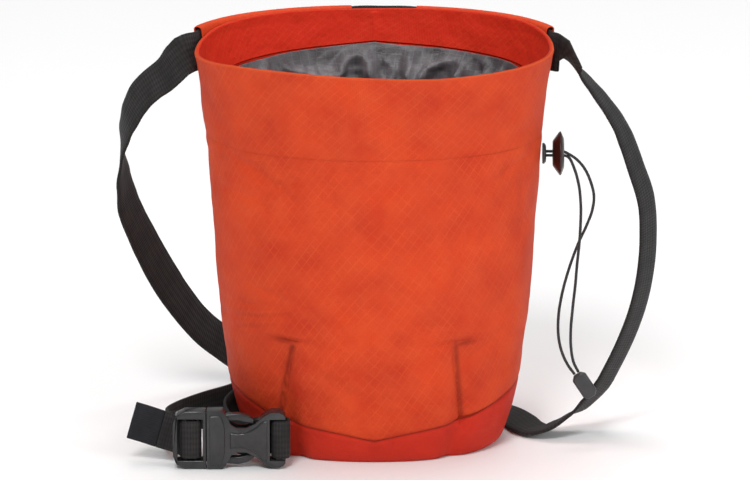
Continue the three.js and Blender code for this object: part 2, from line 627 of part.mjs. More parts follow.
// A flat piece of the buckle: its outline runs along X and Z, and its thickness along Y from front to back
function plate(points, front, back, holes = []) {
  const shape = new THREE.Shape(points.map(([x, z]) => new THREE.Vector2(x, z)));
  holes.forEach((hole) => shape.holes.push(new THREE.Path(hole.map(([x, z]) => new THREE.Vector2(x, z)))));
  const geometry = new THREE.ExtrudeGeometry(shape, { depth: back - front, bevelEnabled: false });
  geometry.rotateX(Math.PI / 2);
  geometry.translate(0, back, 0);
  return toSolid(geometry);
}

const rectangle = (left, right, halfHeight) => [
  [left, -halfHeight], [right, -halfHeight], [right, halfHeight], [left, halfHeight],
];
const mirrored = (upper) => [...upper, ...upper.map(([x, z]) => [x, -z]).reverse()];

// Half outline of the socket: share of its length, share of its half width
const socketEdge = [
  { along: 0, out: 1 },
  { along: 0.2, out: 1 },
  { along: 0.25, out: 0.84 },
  { along: 0.31, out: 0.52 },
  { along: 0.38, out: 0.42 },
  { along: 0.5, out: 0.42 },
  { along: 0.62, out: 0.58 },
  { along: 0.74, out: 0.84 },
  { along: 0.82, out: 0.96 },
  { along: 0.92, out: 0.96 },
  { along: 0.97, out: 0.9 },
  { along: 1, out: 0.8 },
];

// Middle of a prong and its half width: shares of the socket's length and of the buckle's half width
const prongEdge = [
  { along: -0.012, out: 0.62, half: 0.14 },
  { along: 0.12, out: 0.66, half: 0.12 },
  { along: 0.26, out: 0.74, half: 0.12 },
  { along: 0.4, out: 0.76, half: 0.13 },
  { along: 0.52, out: 0.68, half: 0.13 },
  { along: 0.6, out: 0.58, half: 0.08 },
];

function socketGeometry() {
  const halfWidth = buckleWidth / 2;
  const edge = socketEdge.map((row) => [row.along * socketLength, row.out * halfWidth]);
  const shell = plate(mirrored(edge), -halfBuckle, halfBuckle);
  const cavityHalf = halfBuckle - buckleWall;
  const cavity = plate(rectangle(-1, 0.66 * socketLength, halfWidth - buckleWall), -cavityHalf, cavityHalf);
  const slot = rectangle(socketSlot - slotWidth / 2, socketSlot + slotWidth / 2, windowWidth / 2);
  const barSpan = rectangle(socketSlot + slotWidth / 2, socketLength + 1, windowWidth / 2);
  const barEdge = rectangle(socketSlot + slotWidth / 2, socketLength, windowWidth / 2 + 1);
  const bar = plate(barEdge, -frontBarFace, frontBarFace);
  const cut = shell.subtract(cavity).subtract(plate(slot, -halfBuckle - 1, halfBuckle + 1));
  return toGeometry(cut.subtract(plate(barSpan, -halfBuckle - 1, halfBuckle + 1)).add(bar));
}

function plugGeometry() {
  const halfWidth = buckleWidth / 2;
  const shoulder = -seamGap;
  const left = -plugFrameLength;
  const corner = 0.42 * halfWidth;
  const frame = plate(mirrored([
    [shoulder, halfWidth], [left + corner, halfWidth], [left + 0.25 * corner, halfWidth - 0.35 * corner],
    [left, halfWidth - corner],
  ]), -halfBuckle, halfBuckle);
  const through = rectangle(plugFarSlot - slotWidth / 2, plugSlot + slotWidth / 2, windowWidth / 2);
  const window = plate(through, -halfBuckle - 1, halfBuckle + 1);
  const bar = plate(
    rectangle(plugSlot - slotWidth / 2 - barWidth, plugSlot - slotWidth / 2, windowWidth / 2 + 1),
    -frontBarFace,
    frontBarFace,
  );
  const tailRelief = plate(rectangle(left - 1, plugFarSlot, windowWidth / 2), frontBarFace, halfBuckle + 1);
  const halfProng = prongThickness / 2;
  const tongueEdge = rectangle(shoulder - 0.6, 0.1 * socketLength, 0.72 * halfWidth);
  const tongue = plate(tongueEdge, -halfProng, halfProng);
  const arms = [1, -1].map((side) => plate([
    ...prongEdge.map((row) => [row.along * socketLength, side * (row.out + row.half) * halfWidth]),
    ...prongEdge.map((row) => [row.along * socketLength, side * (row.out - row.half) * halfWidth]).reverse(),
  ], -halfProng, halfProng));
  const open = frame.subtract(window).subtract(tailRelief);
  return toGeometry([bar, tongue, ...arms].reduce((solid, piece) => solid.add(piece), open));
}

const eyeletMiddle = bagPoint(0, eyeletHeight * bagHeight);
const lockStart = eyeletMiddle.x + eyeletStand + eyeletThickness + lockGap;
const boreRadius = strandSpread / 2 + cordDiameter / 2 + 0.4;

// A turned piece whose axis runs along X; rows give its radius and place along the axis
function turned(rows) {
  const profile = rows.map(([radius, along]) => new THREE.Vector2(radius, along));
  const geometry = new THREE.LatheGeometry(profile, 20);
  geometry.rotateZ(-Math.PI / 2);
  return toGeometry(toSolid(geometry));
}

function eyeletGeometry() {
  const outer = eyeletThickness * 0.5;
  return turned([
    [boreRadius, 0], [eyeletRadius, 0], [eyeletRadius, outer], [eyeletRadius * 0.8, eyeletThickness],
    [boreRadius, eyeletThickness], [boreRadius, 0],
  ]);
}

function lockGeometry() {
  return turned([
    [boreRadius, 0], [lockRadius * 0.57, 0], [lockRadius, lockThickness * 0.62],
    [lockRadius, lockThickness * 0.74], [lockRadius * 0.68, lockThickness], [boreRadius, lockThickness],
    [boreRadius, 0],
  ]);
}

function strandGeometry(route, side) {
  const height = eyeletMiddle.z + side * strandSpread / 2;
  const through = [eyeletMiddle.x + eyeletStand, lockStart, lockStart + lockThickness - 0.6];
  const inside = through.map((x) => new THREE.Vector3(x, 0, height));
  const lockEnd = new THREE.Vector3(lockStart + lockThickness, 0, eyeletMiddle.z);
  const outside = route.map((offset) => new THREE.Vector3(...offset).add(lockEnd));
  const path = new THREE.CatmullRomCurve3([...inside, ...outside], false, 'centripetal');
  const section = new THREE.Shape();
  section.absarc(0, 0, cordDiameter / 2, 0, 2 * Math.PI);
  const sweep = { steps: 44, curveSegments: 4, bevelEnabled: false, extrudePath: path };
  const geometry = new THREE.ExtrudeGeometry(section, sweep);
  return toGeometry(toSolid(geometry));
}

// The cord's pull: a flat drop with cut corners that hangs from the strands' ends
function pullGeometry() {
  const shape = new THREE.Shape();
  const half = pullWidth / 2;
  const cut = pullWidth * 0.25;
  shape.moveTo(-half + cut, 0);
  shape.lineTo(half - cut, 0);
  shape.lineTo(half, -cut);
  shape.lineTo(half, -pullLength + cut);
  shape.lineTo(half - cut, -pullLength);
  shape.lineTo(-half + cut, -pullLength);
  shape.lineTo(-half, -pullLength + cut);
  shape.lineTo(-half, -cut);
  shape.closePath();
  const geometry = new THREE.ExtrudeGeometry(shape, {
    depth: pullThickness * 0.6, bevelEnabled: true, bevelSegments: 1,
    bevelThickness: pullThickness * 0.2, bevelSize: pullThickness * 0.2, bevelOffset: -pullThickness * 0.2,
  });
  geometry.translate(0, 0, -pullThickness * 0.3);
  geometry.rotateX(Math.PI / 2);
  geometry.rotateY(-THREE.MathUtils.degToRad(pullTilt));
  const [x, y, z] = pullTop;
  geometry.translate(lockStart + lockThickness + x, y, eyeletMiddle.z + z);
  return toGeometry(toSolid(geometry));
}

function pouch() {
  const group = new THREE.Group();
  group.add(named('collar', collarGeometry(), orange));
  group.add(named('body', bodyGeometry(), orange));
  group.add(named('boot', bootGeometry(), red));
  group.add(named('liner', linerGeometry(), grey));
  Object.entries(sleeves).forEach(([name, span]) => group.add(named(name, sleeveGeometry(span), orange)));
  return group;
}

function belt() {
  const group = new THREE.Group();
  group.add(named('belt', beltGeometry(), webBlack));
  group.add(named('belt_label', labelGeometry(), labelBlack));
  const buckle = new THREE.Group();
  buckle.add(named('buckle_socket', socketGeometry(), mouldedBlack));
  buckle.add(named('buckle_plug', plugGeometry(), mouldedBlack));
  buckle.position.copy(buckleCentre);
  group.add(buckle);
  return group;
}

function drawcord() {
  const group = new THREE.Group();
  const eyelet = named('cord_eyelet', eyeletGeometry(), mouldedBlack);
  eyelet.position.set(eyeletMiddle.x + eyeletStand, 0, eyeletMiddle.z);
  const lock = named('cord_lock', lockGeometry(), mouldedBlack);
  lock.position.set(lockStart, 0, eyeletMiddle.z);
  group.add(eyelet, lock);
  group.add(named('drawcord_far', strandGeometry(farStrand, 1), cordBlack));
  group.add(named('drawcord_near', strandGeometry(nearStrand, -1), cordBlack));
  group.add(named('cord_pull', pullGeometry(), mouldedBlack));
  return group;
}

const chalkBag = new THREE.Group();
chalkBag.add(pouch(), belt(), drawcord());

export default chalkBag;
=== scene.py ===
"""A climbing chalk bag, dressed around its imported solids: pouch, lining, belt with buckle, and drawcord.

Lengths are metres. X runs to the bag's right, Y to its back and Z up, and the bag stands on Z = 0.
"""

import logging
import math
from bisect import bisect_right
from contextlib import contextmanager
from dataclasses import dataclass, field
from enum import Enum
from typing import Callable, Iterable, Iterator, Sequence

import bpy
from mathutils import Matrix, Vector, noise


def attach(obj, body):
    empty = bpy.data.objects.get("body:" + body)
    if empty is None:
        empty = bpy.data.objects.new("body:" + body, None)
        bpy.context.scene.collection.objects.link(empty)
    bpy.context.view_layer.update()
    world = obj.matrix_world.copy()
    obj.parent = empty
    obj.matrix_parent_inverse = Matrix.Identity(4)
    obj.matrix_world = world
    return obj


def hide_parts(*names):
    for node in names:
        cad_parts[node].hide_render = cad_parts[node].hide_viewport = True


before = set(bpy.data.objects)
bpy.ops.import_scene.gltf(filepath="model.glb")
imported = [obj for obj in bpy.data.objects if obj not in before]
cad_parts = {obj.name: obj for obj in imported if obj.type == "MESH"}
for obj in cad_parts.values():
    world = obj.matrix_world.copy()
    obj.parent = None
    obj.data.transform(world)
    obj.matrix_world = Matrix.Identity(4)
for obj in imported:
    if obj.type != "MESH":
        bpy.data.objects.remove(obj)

log = logging.getLogger("chalk_bag")
MM = 0.001
FOLD_SHADE = "fold_shade"
BAND_RATE = 0.31416  # a wave texture of this scale has bands one unit apart
Row = tuple[float, ...]
Colour = tuple[float, float, float, float]
Place = Callable[[float, float], Vector]
Stop = tuple[Vector, Vector]
Piece = bpy.types.Object
Socket = bpy.types.NodeSocket
Inputs = dict[int | str, object]


class Light(Enum):
    """Soft lamps of the studio: place, aim, size in metres and power in watts."""

    KEY = ((-0.5, -1.9, 2.3), (0.0, 0.0, 0.08), 1.0, 42.0)
    FILL = ((1.9, -1.5, 1.1), (0.0, 0.0, 0.08), 1.2, 17.0)
    TOP = ((0.1, 0.5, 2.4), (0.0, 0.0, 0.1), 1.6, 30.0)


class Weave(Enum):
    """How a cloth's threads lie, as pitch in millimetres and height of the relief in millimetres."""

    FINE = (0.62, 0.05)
    PLAIN = (0.5, 0.035)
    THIN = (0.45, 0.03)


def drawn_in(point: Vector, share: float) -> Vector:
    """A point drawn in towards the middle axis, at its own height."""
    return Vector((point.x * share, point.y * share, point.z))


def as_metres(values: Iterable[float]) -> Vector:
    """A point given in millimetres, in metres."""
    return Vector([value * MM for value in values])


def from_table(rows: Sequence[Row], column: int, at: float) -> float:
    """Reads a smooth value from a table whose first column is the key.

    Args:
        rows: Rows in rising order of their first column.
        column: Number of the column to read.
        at: Key to look up.

    Returns:
        The value there, held at the table's ends.
    """
    last = len(rows) - 1
    if at <= rows[0][0]:
        return rows[0][column]
    if at >= rows[last][0]:
        return rows[last][column]
    after = bisect_right([row[0] for row in rows], at)
    a, b = rows[after - 1], rows[after]
    before, beyond = rows[max(after - 2, 0)], rows[min(after + 1, last)]
    span = b[0] - a[0]
    t = (at - a[0]) / span
    slope_in = (b[column] - before[column]) / (b[0] - before[0]) * span
    slope_out = (beyond[column] - a[column]) / (beyond[0] - a[0]) * span
    smooth = t * t * (3 - 2 * t)
    rise = a[column] + (b[column] - a[column]) * smooth
    return rise + slope_in * t * (1 - t) * (1 - t) + slope_out * t * t * (t - 1)


def clamp(value: float, low: float = 0.0, high: float = 1.0) -> float:
    """The value, held between low and high."""
    return max(low, min(high, value))


def bell(distance: float, half_width: float) -> float:
    """A smooth hump: 1 in its middle and near 0 past two half widths."""
    return math.exp(-((distance / half_width) ** 2))


def stretch(share: float, cuts: Sequence[float]) -> tuple[int, float]:
    """Which stretch between two cuts a share falls in, and how far through it that is."""
    index = min(bisect_right(cuts, share), len(cuts) - 1) - 1
    return index, (share - cuts[index]) / (cuts[index + 1] - cuts[index])


# ---- shaping in edit mode


def deselect_all() -> None:
    """Leaves nothing selected, so that an operator acts only on what a method selects."""
    for thing in list(bpy.context.selected_objects):
        thing.select_set(False)


def only(thing: Piece) -> None:
    """Selects that object alone and makes it the active one."""
    deselect_all()
    thing.select_set(True)
    bpy.context.view_layer.objects.active = thing


def settle(thing: Piece, name: str, smooth: float = 180.0) -> Piece:
    """Names a piece, puts its place into its mesh and shades it smooth below an angle in degrees."""
    only(thing)
    thing.name = name
    bpy.ops.object.transform_apply(location=True, rotation=True, scale=True)
    if smooth >= 180.0:
        bpy.ops.object.shade_smooth()
    else:
        bpy.ops.object.shade_smooth_by_angle(angle=math.radians(smooth))
    return thing


def apply_modifier(thing: Piece, kind: str, **settings: object) -> None:
    """Adds a modifier with these settings and applies it."""
    only(thing)
    modifier = thing.modifiers.new(kind.lower(), kind)
    for key, value in settings.items():
        setattr(modifier, key, value)
    bpy.ops.object.modifier_apply(modifier=modifier.name)


def subdivide_smooth(thing: Piece, levels: int = 1) -> None:
    """Applies a subdivision surface of that many levels."""
    apply_modifier(thing, "SUBSURF", levels=levels, render_levels=levels)


def round_edges(thing: Piece, width: float, segments: int, above: float) -> None:
    """Rounds the edges that turn by more than an angle in degrees."""
    angle = math.radians(above)
    apply_modifier(thing, "BEVEL", width=width, segments=segments, limit_method="ANGLE", angle_limit=angle)


@contextmanager
def editing() -> Iterator[None]:
    """Opens the active object in edit mode with all of it selected, and closes it afterwards."""
    bpy.ops.object.mode_set(mode="EDIT")
    bpy.ops.mesh.select_all(action="SELECT")
    yield
    bpy.ops.object.mode_set(mode="OBJECT")


def wrapped_sheet(name: str, across: int, along: int, place: Place, caps: bool = False) -> Piece:
    """Lays a grid over a surface: a flat grid is added, its points are moved, and its seams are closed.

    Args:
        name: Name of the piece.
        across: Number of faces along the grid's first share.
        along: Number of faces along its second share.
        place: Gives the point for two shares from 0 to 1.
        caps: Whether the open ends are filled.

    Returns:
        The closed piece, with a UV map that holds the two shares.
    """
    deselect_all()
    bpy.ops.mesh.primitive_grid_add(x_subdivisions=across, y_subdivisions=along, size=2.0)
    thing = bpy.context.object
    for vertex in thing.data.vertices:
        vertex.co = place(clamp((vertex.co.x + 1) / 2), clamp((vertex.co.y + 1) / 2))
    with editing():
        bpy.ops.mesh.remove_doubles(threshold=2e-6)
        if caps:
            bpy.ops.mesh.select_all(action="DESELECT")
            bpy.ops.mesh.select_mode(type="EDGE")
            bpy.ops.mesh.select_non_manifold(extend=False)
            bpy.ops.mesh.fill_holes(sides=0)
            bpy.ops.mesh.select_all(action="SELECT")
        bpy.ops.mesh.normals_make_consistent(inside=False)
    return settle(thing, name)


def store_shade(piece: Piece, shade: Callable[[Vector], float]) -> None:
    """Stores on each point how much a seam, dart or fold darkens it, from 0 to 1."""
    layer = piece.data.attributes.new(FOLD_SHADE, "FLOAT", "POINT")
    layer.data.foreach_set("value", [clamp(shade(vertex.co)) for vertex in piece.data.vertices])


def softened_copy(node: str, name: str, bevel: float, segments: int = 3) -> Piece:
    """A merged copy of a solid with its edges rounded, which stands for that solid.

    Args:
        node: Name of the solid.
        name: Name of the new piece.
        bevel: Radius of the rounded edges in metres.
        segments: Number of faces round each edge.

    Returns:
        The new piece.
    """
    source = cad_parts[node]
    thing = bpy.data.objects.new(name, source.data.copy())
    bpy.context.scene.collection.objects.link(thing)
    only(thing)
    thing.data.materials.clear()
    with editing():
        bpy.ops.mesh.remove_doubles(threshold=1e-6)
        bpy.ops.mesh.dissolve_limited(angle_limit=math.radians(1.5))
    round_edges(thing, bevel, segments, 28)
    settle(thing, name, smooth=40.0)
    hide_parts(node)
    return thing


# ---- finishes


class Board:
    """A material's nodes, laid out in code, with one tone that each step tints further."""

    def __init__(self, name: str, tone: Colour) -> None:
        """Starts a material with one Principled shader and its first tone."""
        self.material = bpy.data.materials.new(name)
        self.material.use_nodes = True
        self.tree = self.material.node_tree
        self.shader = self.tree.nodes["Principled BSDF"]
        self.tone: object = tone

    def add(self, kind: str, inputs: Inputs | None = None, **settings: object) -> bpy.types.Node:
        """Adds a node.

        Args:
            kind: The node's type name without its ShaderNode prefix.
            inputs: Sockets and their values or the sockets that feed them.
            settings: Properties of the node.

        Returns:
            The node.
        """
        node = self.tree.nodes.new("ShaderNode" + kind)
        for key, value in settings.items():
            setattr(node, key, value)
        for key, value in (inputs or {}).items():
            if isinstance(value, Socket):
                self.tree.links.new(value, node.inputs[key])
            else:
                node.inputs[key].default_value = value
        return node

    def math(self, operation: str, a: object, b: object = 0.0) -> Socket:
        """The result of one Math node."""
        return self.add("Math", {0: a, 1: b}, operation=operation).outputs[0]

    def times(self, a: object, b: object) -> Socket:
        """The product of two values."""
        return self.math("MULTIPLY", a, b)

    def ramp(self, value: Socket, low: float, high: float, first: float, last: float) -> Socket:
        """A value whose range from low to high is stretched to run from first to last."""
        return self.add("MapRange", {0: value, 1: low, 2: high, 3: first, 4: last}).outputs[0]

    def spread(self, value: Socket, first: float, last: float) -> Socket:
        """A noise value stretched to run from first to last."""
        return self.ramp(value, 0.3, 0.7, first, last)

    def solid(self) -> Socket:
        """Object coordinates in millimetres."""
        source = self.add("TexCoord").outputs["Object"]
        return self.add("Mapping", {0: source, 3: (1 / MM, 1 / MM, 1 / MM)}).outputs[0]

    def sheet(self, across: float, along: float) -> Socket:
        """The piece's UV map in millimetres, for a sheet of that size."""
        source = self.add("TexCoord").outputs["UV"]
        return self.add("Mapping", {0: source, 3: (across, along, 1.0)}).outputs[0]

    def lines(self, where: Socket, turn: float, pitch: float, width: float) -> Socket:
        """Straight lines across a surface.

        Args:
            where: Coordinates in millimetres.
            turn: Direction of the lines in radians.
            pitch: Distance between two lines in millimetres.
            width: Width of a line in millimetres.

        Returns:
            1 on a line and 0 beside it.
        """
        turned = self.add("Mapping", {0: where, 2: (0.0, 0.0, turn)}).outputs[0]
        across = self.add("SeparateXYZ", {0: turned}).outputs[0]
        away = self.math("PINGPONG", across, pitch / 2)
        return self.ramp(away, 0.0, width / 2, 1.0, 0.0)

    def cloud(self, where: Socket, size: float, detail: float = 3.0) -> Socket:
        """Soft noise whose patches are about that many millimetres across."""
        return self.add("TexNoise", {"Vector": where, "Scale": 1.0 / size, "Detail": detail}).outputs[0]

    def wave(self, where: Socket, pitch: float, side: str, wander: float = 0.0) -> Socket:
        """Soft bands across X or Y, pitch millimetres apart, from 0 to 1."""
        inputs = {"Vector": where, "Scale": BAND_RATE / pitch, "Distortion": wander}
        return self.add("TexWave", inputs, bands_direction=side).outputs["Fac"]

    def threads(self, where: Socket, pitch: float) -> Socket:
        """A plain weave of two crossing sets of threads, from 0 to 1."""
        one, other = [self.times(self.wave(where, pitch, side), 0.5) for side in ("X", "Y")]
        return self.math("ADD", one, other)

    def fold_shade(self) -> Socket:
        """How much a seam, dart or fold darkens each point."""
        return self.add("Attribute", attribute_name=FOLD_SHADE).outputs["Fac"]

    def tint(self, share: object, colour: Colour) -> None:
        """Draws the tone towards a colour by a share from 0 to 1."""
        self.tone = self.add("Mix", {0: share, 6: self.tone, 7: colour}, data_type="RGBA").outputs[2]

    def relief(self, height: Socket, depth: float, strength: float = 1.0) -> None:
        """Feeds the shader's normal from a height map, depth in millimetres."""
        inputs = {"Height": height, "Distance": depth * MM, "Strength": strength}
        known = self.shader.inputs["Normal"]
        if known.is_linked:
            inputs["Normal"] = known.links[0].from_socket
        self.tree.links.new(self.add("Bump", inputs).outputs[0], known)

    def feed(self, value: Socket, name: str) -> None:
        """Feeds one of the shader's sockets."""
        self.tree.links.new(value, self.shader.inputs[name])

    def done(self, roughness: float, specular: float, sheen: float = 0.0) -> bpy.types.Material:
        """Feeds the tone to the shader, sets its even values and gives the material."""
        self.feed(self.tone, "Base Color")
        even = {"Roughness": roughness, "Specular IOR Level": specular, "Sheen Weight": sheen}
        for name, value in {**even, "Sheen Roughness": 0.45}.items():
            self.shader.inputs[name].default_value = value
        return self.material


@dataclass(frozen=True)
class ShellCloth:
    """The pouch's woven nylon: fine threads, faint slanting lines and soft patches of tone, with the painted
    shade of seams and darts; on the collar, a painted highlight along the rim and painted shade as a deeper
    red on the facing inside the mouth.
    """

    name: str
    base: Colour
    light: Colour
    deep: Colour
    across: float
    along: float
    weave: Weave = Weave.FINE
    slant: float = 0.42
    patches: float = 0.8
    facing: Colour | None = None
    facing_shade_from: tuple[float, float] = (0.5, 0.53)
    rim_highlight_middle: float = 0.455
    rim_highlight_reach: float = 0.035

    def make(self) -> bpy.types.Material:
        """Builds the material."""
        board = Board(self.name, self.base)
        cloth, solid = board.sheet(self.across, self.along), board.solid()
        board.tint(board.spread(board.cloud(solid, 24.0), 0.0, self.patches), self.deep)
        board.tint(board.spread(board.cloud(solid, 9.0, 4.0), 0.0, 0.2), self.light)
        if self.facing:
            # painted shade: past the rim's fold, the facing inside the mouth is drawn towards a deeper red
            share = board.add("SeparateXYZ", {0: board.add("TexCoord").outputs["UV"]}).outputs[1]
            board.tint(board.ramp(share, *self.facing_shade_from, 0.0, 1.0), self.facing)
            # painted highlight: a pale band along the folded rim, placed by the collar's UV share
            away = board.math("ABSOLUTE", board.math("SUBTRACT", share, self.rim_highlight_middle))
            board.tint(board.ramp(away, 0.0, self.rim_highlight_reach, 0.6, 0.0), self.light)
        rising = board.lines(cloth, math.radians(38), 2.9, 0.5)
        falling = board.times(board.lines(cloth, math.radians(-47), 3.3, 0.5), 0.7)
        slants = board.math("MAXIMUM", rising, falling)
        worn = board.times(board.spread(board.cloud(cloth, 9.0), 0.0, 1.0), self.slant)
        board.tint(board.times(slants, worn), self.light)
        pitch, height = self.weave.value
        threads = board.threads(cloth, pitch)
        board.tint(board.times(threads, 0.16), self.deep)
        dark = tuple(part * 0.35 for part in self.deep[:3]) + (1.0,)
        board.tint(board.times(board.fold_shade(), 0.8), dark)
        board.feed(board.ramp(board.cloud(solid, 8.0), 0.0, 1.0, 0.55, 0.72), "Roughness")
        board.relief(threads, height * 2.5, 0.8)
        board.relief(slants, 0.06, 0.4)
        board.relief(board.cloud(solid, 9.0, 5.0), 1.8, 0.7)
        return board.done(0.68, 0.18)


@dataclass(frozen=True)
class Lining:
    """Thin grey lining with a small square grid of thicker threads, many small creases and painted shade in
    the hollows between its folds.
    """

    name: str = "grey_lining"
    base: Colour = (0.095, 0.089, 0.096, 1.0)
    light: Colour = (0.25, 0.24, 0.26, 1.0)
    deep: Colour = (0.03, 0.028, 0.031, 1.0)
    hollow_shade: Colour = (0.012, 0.011, 0.012, 1.0)
    across: float = 400.0
    along: float = 150.0

    def make(self) -> bpy.types.Material:
        """Builds the material."""
        board = Board(self.name, self.base)
        cloth, solid = board.sheet(self.across, self.along), board.solid()
        board.tint(board.spread(board.cloud(solid, 13.0, 2.0), 0.0, 1.0), self.deep)
        board.tint(board.spread(board.cloud(solid, 6.0, 5.0), 0.0, 0.4), self.light)
        # painted shade in the hollows between the lining's folds
        board.tint(board.fold_shade(), self.hollow_shade)
        grid = board.math("MAXIMUM", *[board.lines(cloth, turn, 3.6, 0.5) for turn in (0.0, math.pi / 2)])
        board.tint(board.times(grid, 0.22), self.light)
        threads = board.threads(cloth, Weave.THIN.value[0])
        board.tint(board.times(threads, 0.2), self.deep)
        board.relief(threads, 0.05, 0.5)
        board.relief(grid, 0.08, 0.5)
        board.relief(board.cloud(solid, 5.0, 5.0), 1.4, 0.5)
        return board.done(0.42, 0.5, 0.1)


@dataclass(frozen=True)
class Webbing:
    """Black nylon webbing: fine crosswise ribs and lengthwise rows, slightly paler in soft patches."""

    name: str
    base: Colour
    light: Colour
    around: float
    along: float
    rib: float = 1.15
    rows: float = 1.3

    def make(self) -> bpy.types.Material:
        """Builds the material."""
        board = Board(self.name, self.base)
        strap = board.sheet(self.around, self.along)
        ribs = board.times(board.wave(strap, self.rib, "Y", 0.3), 0.6)
        rows = board.times(board.wave(strap, self.rows, "X"), 0.4)
        both = board.math("ADD", ribs, rows)
        board.tint(board.times(both, board.spread(board.cloud(strap, 6.0), 0.15, 0.55)), self.light)
        board.relief(both, 0.22, 0.8)
        board.relief(board.cloud(strap, 1.2, 2.0), 0.12, 0.4)
        return board.done(0.72, 0.25, 0.04)


@dataclass(frozen=True)
class Moulded:
    """Moulded plastic with a fine satin grain and a painted highlight along its sharp edges."""

    name: str
    base: Colour
    light: Colour
    roughness: float = 0.34
    grain: float = 0.05

    def make(self) -> bpy.types.Material:
        """Builds the material."""
        board = Board(self.name, self.base)
        solid = board.solid()
        board.tint(board.spread(board.cloud(solid, 3.0, 5.0), 0.0, 0.25), self.light)
        # painted highlight: sharp edges are drawn towards the paler colour
        edges = board.add("NewGeometry").outputs["Pointiness"]
        board.tint(board.ramp(edges, 0.5, 0.58, 0.0, 0.45), self.light)
        low, high = self.roughness - 0.07, self.roughness + 0.12
        board.feed(board.ramp(board.cloud(solid, 2.0, 4.0), 0.0, 1.0, low, high), "Roughness")
        board.relief(board.cloud(solid, 0.35, 2.0), self.grain, 0.5)
        return board.done(self.roughness, 0.5)


@dataclass(frozen=True)
class Braid:
    """A thin braided cord with a slanting lay."""

    name: str
    base: Colour
    light: Colour
    around: float
    along: float
    pitch: float = 0.9

    def make(self) -> bpy.types.Material:
        """Builds the material."""
        board = Board(self.name, self.base)
        where = board.sheet(self.around, self.along)
        wide = self.pitch * 0.7
        both = [board.lines(where, math.radians(turn), self.pitch, wide) for turn in (35, -35)]
        lay = board.math("MAXIMUM", *both)
        board.tint(board.times(lay, 0.5), self.light)
        board.relief(lay, 0.12, 0.7)
        return board.done(0.6, 0.45, 0.15)


@dataclass(frozen=True)
class StudioFloor:
    """A pale matt floor."""

    name: str = "pale_floor"
    base: Colour = (0.95, 0.95, 0.95, 1.0)
    grey: Colour = (0.92, 0.92, 0.925, 1.0)

    def make(self) -> bpy.types.Material:
        """Builds the material."""
        board = Board(self.name, self.base)
        board.tint(board.spread(board.cloud(board.solid(), 300.0), 0.0, 0.06), self.grey)
        return board.done(0.7, 0.2)


ORANGE: Colour = (0.67, 0.056, 0.011, 1.0)
ORANGE_LIGHT: Colour = (0.84, 0.14, 0.036, 1.0)
ORANGE_DEEP: Colour = (0.47, 0.028, 0.009, 1.0)
RED: Colour = (0.58, 0.026, 0.009, 1.0)
RED_LIGHT: Colour = (0.7, 0.055, 0.022, 1.0)
RED_DEEP: Colour = (0.45, 0.018, 0.008, 1.0)
# painted shade: the facing is the same orange cloth, given a deeper red where it lines the shaded inside of
# the mouth
FACING_SHADE_RED: Colour = (0.78, 0.03, 0.01, 1.0)


def finish(piece: Piece, material: bpy.types.Material, slot: str, *nodes: str) -> Piece:
    """Gives a piece its material and the solids it stands for, and lets it ride on the root."""
    piece.data.materials.clear()
    piece.data.materials.append(material)
    if nodes:
        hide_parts(*nodes)
    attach(piece, "root")
    log.info("%s: %d faces", piece.name, len(getattr(piece.data, "polygons", [])))
    return piece


# ---- the pouch's form


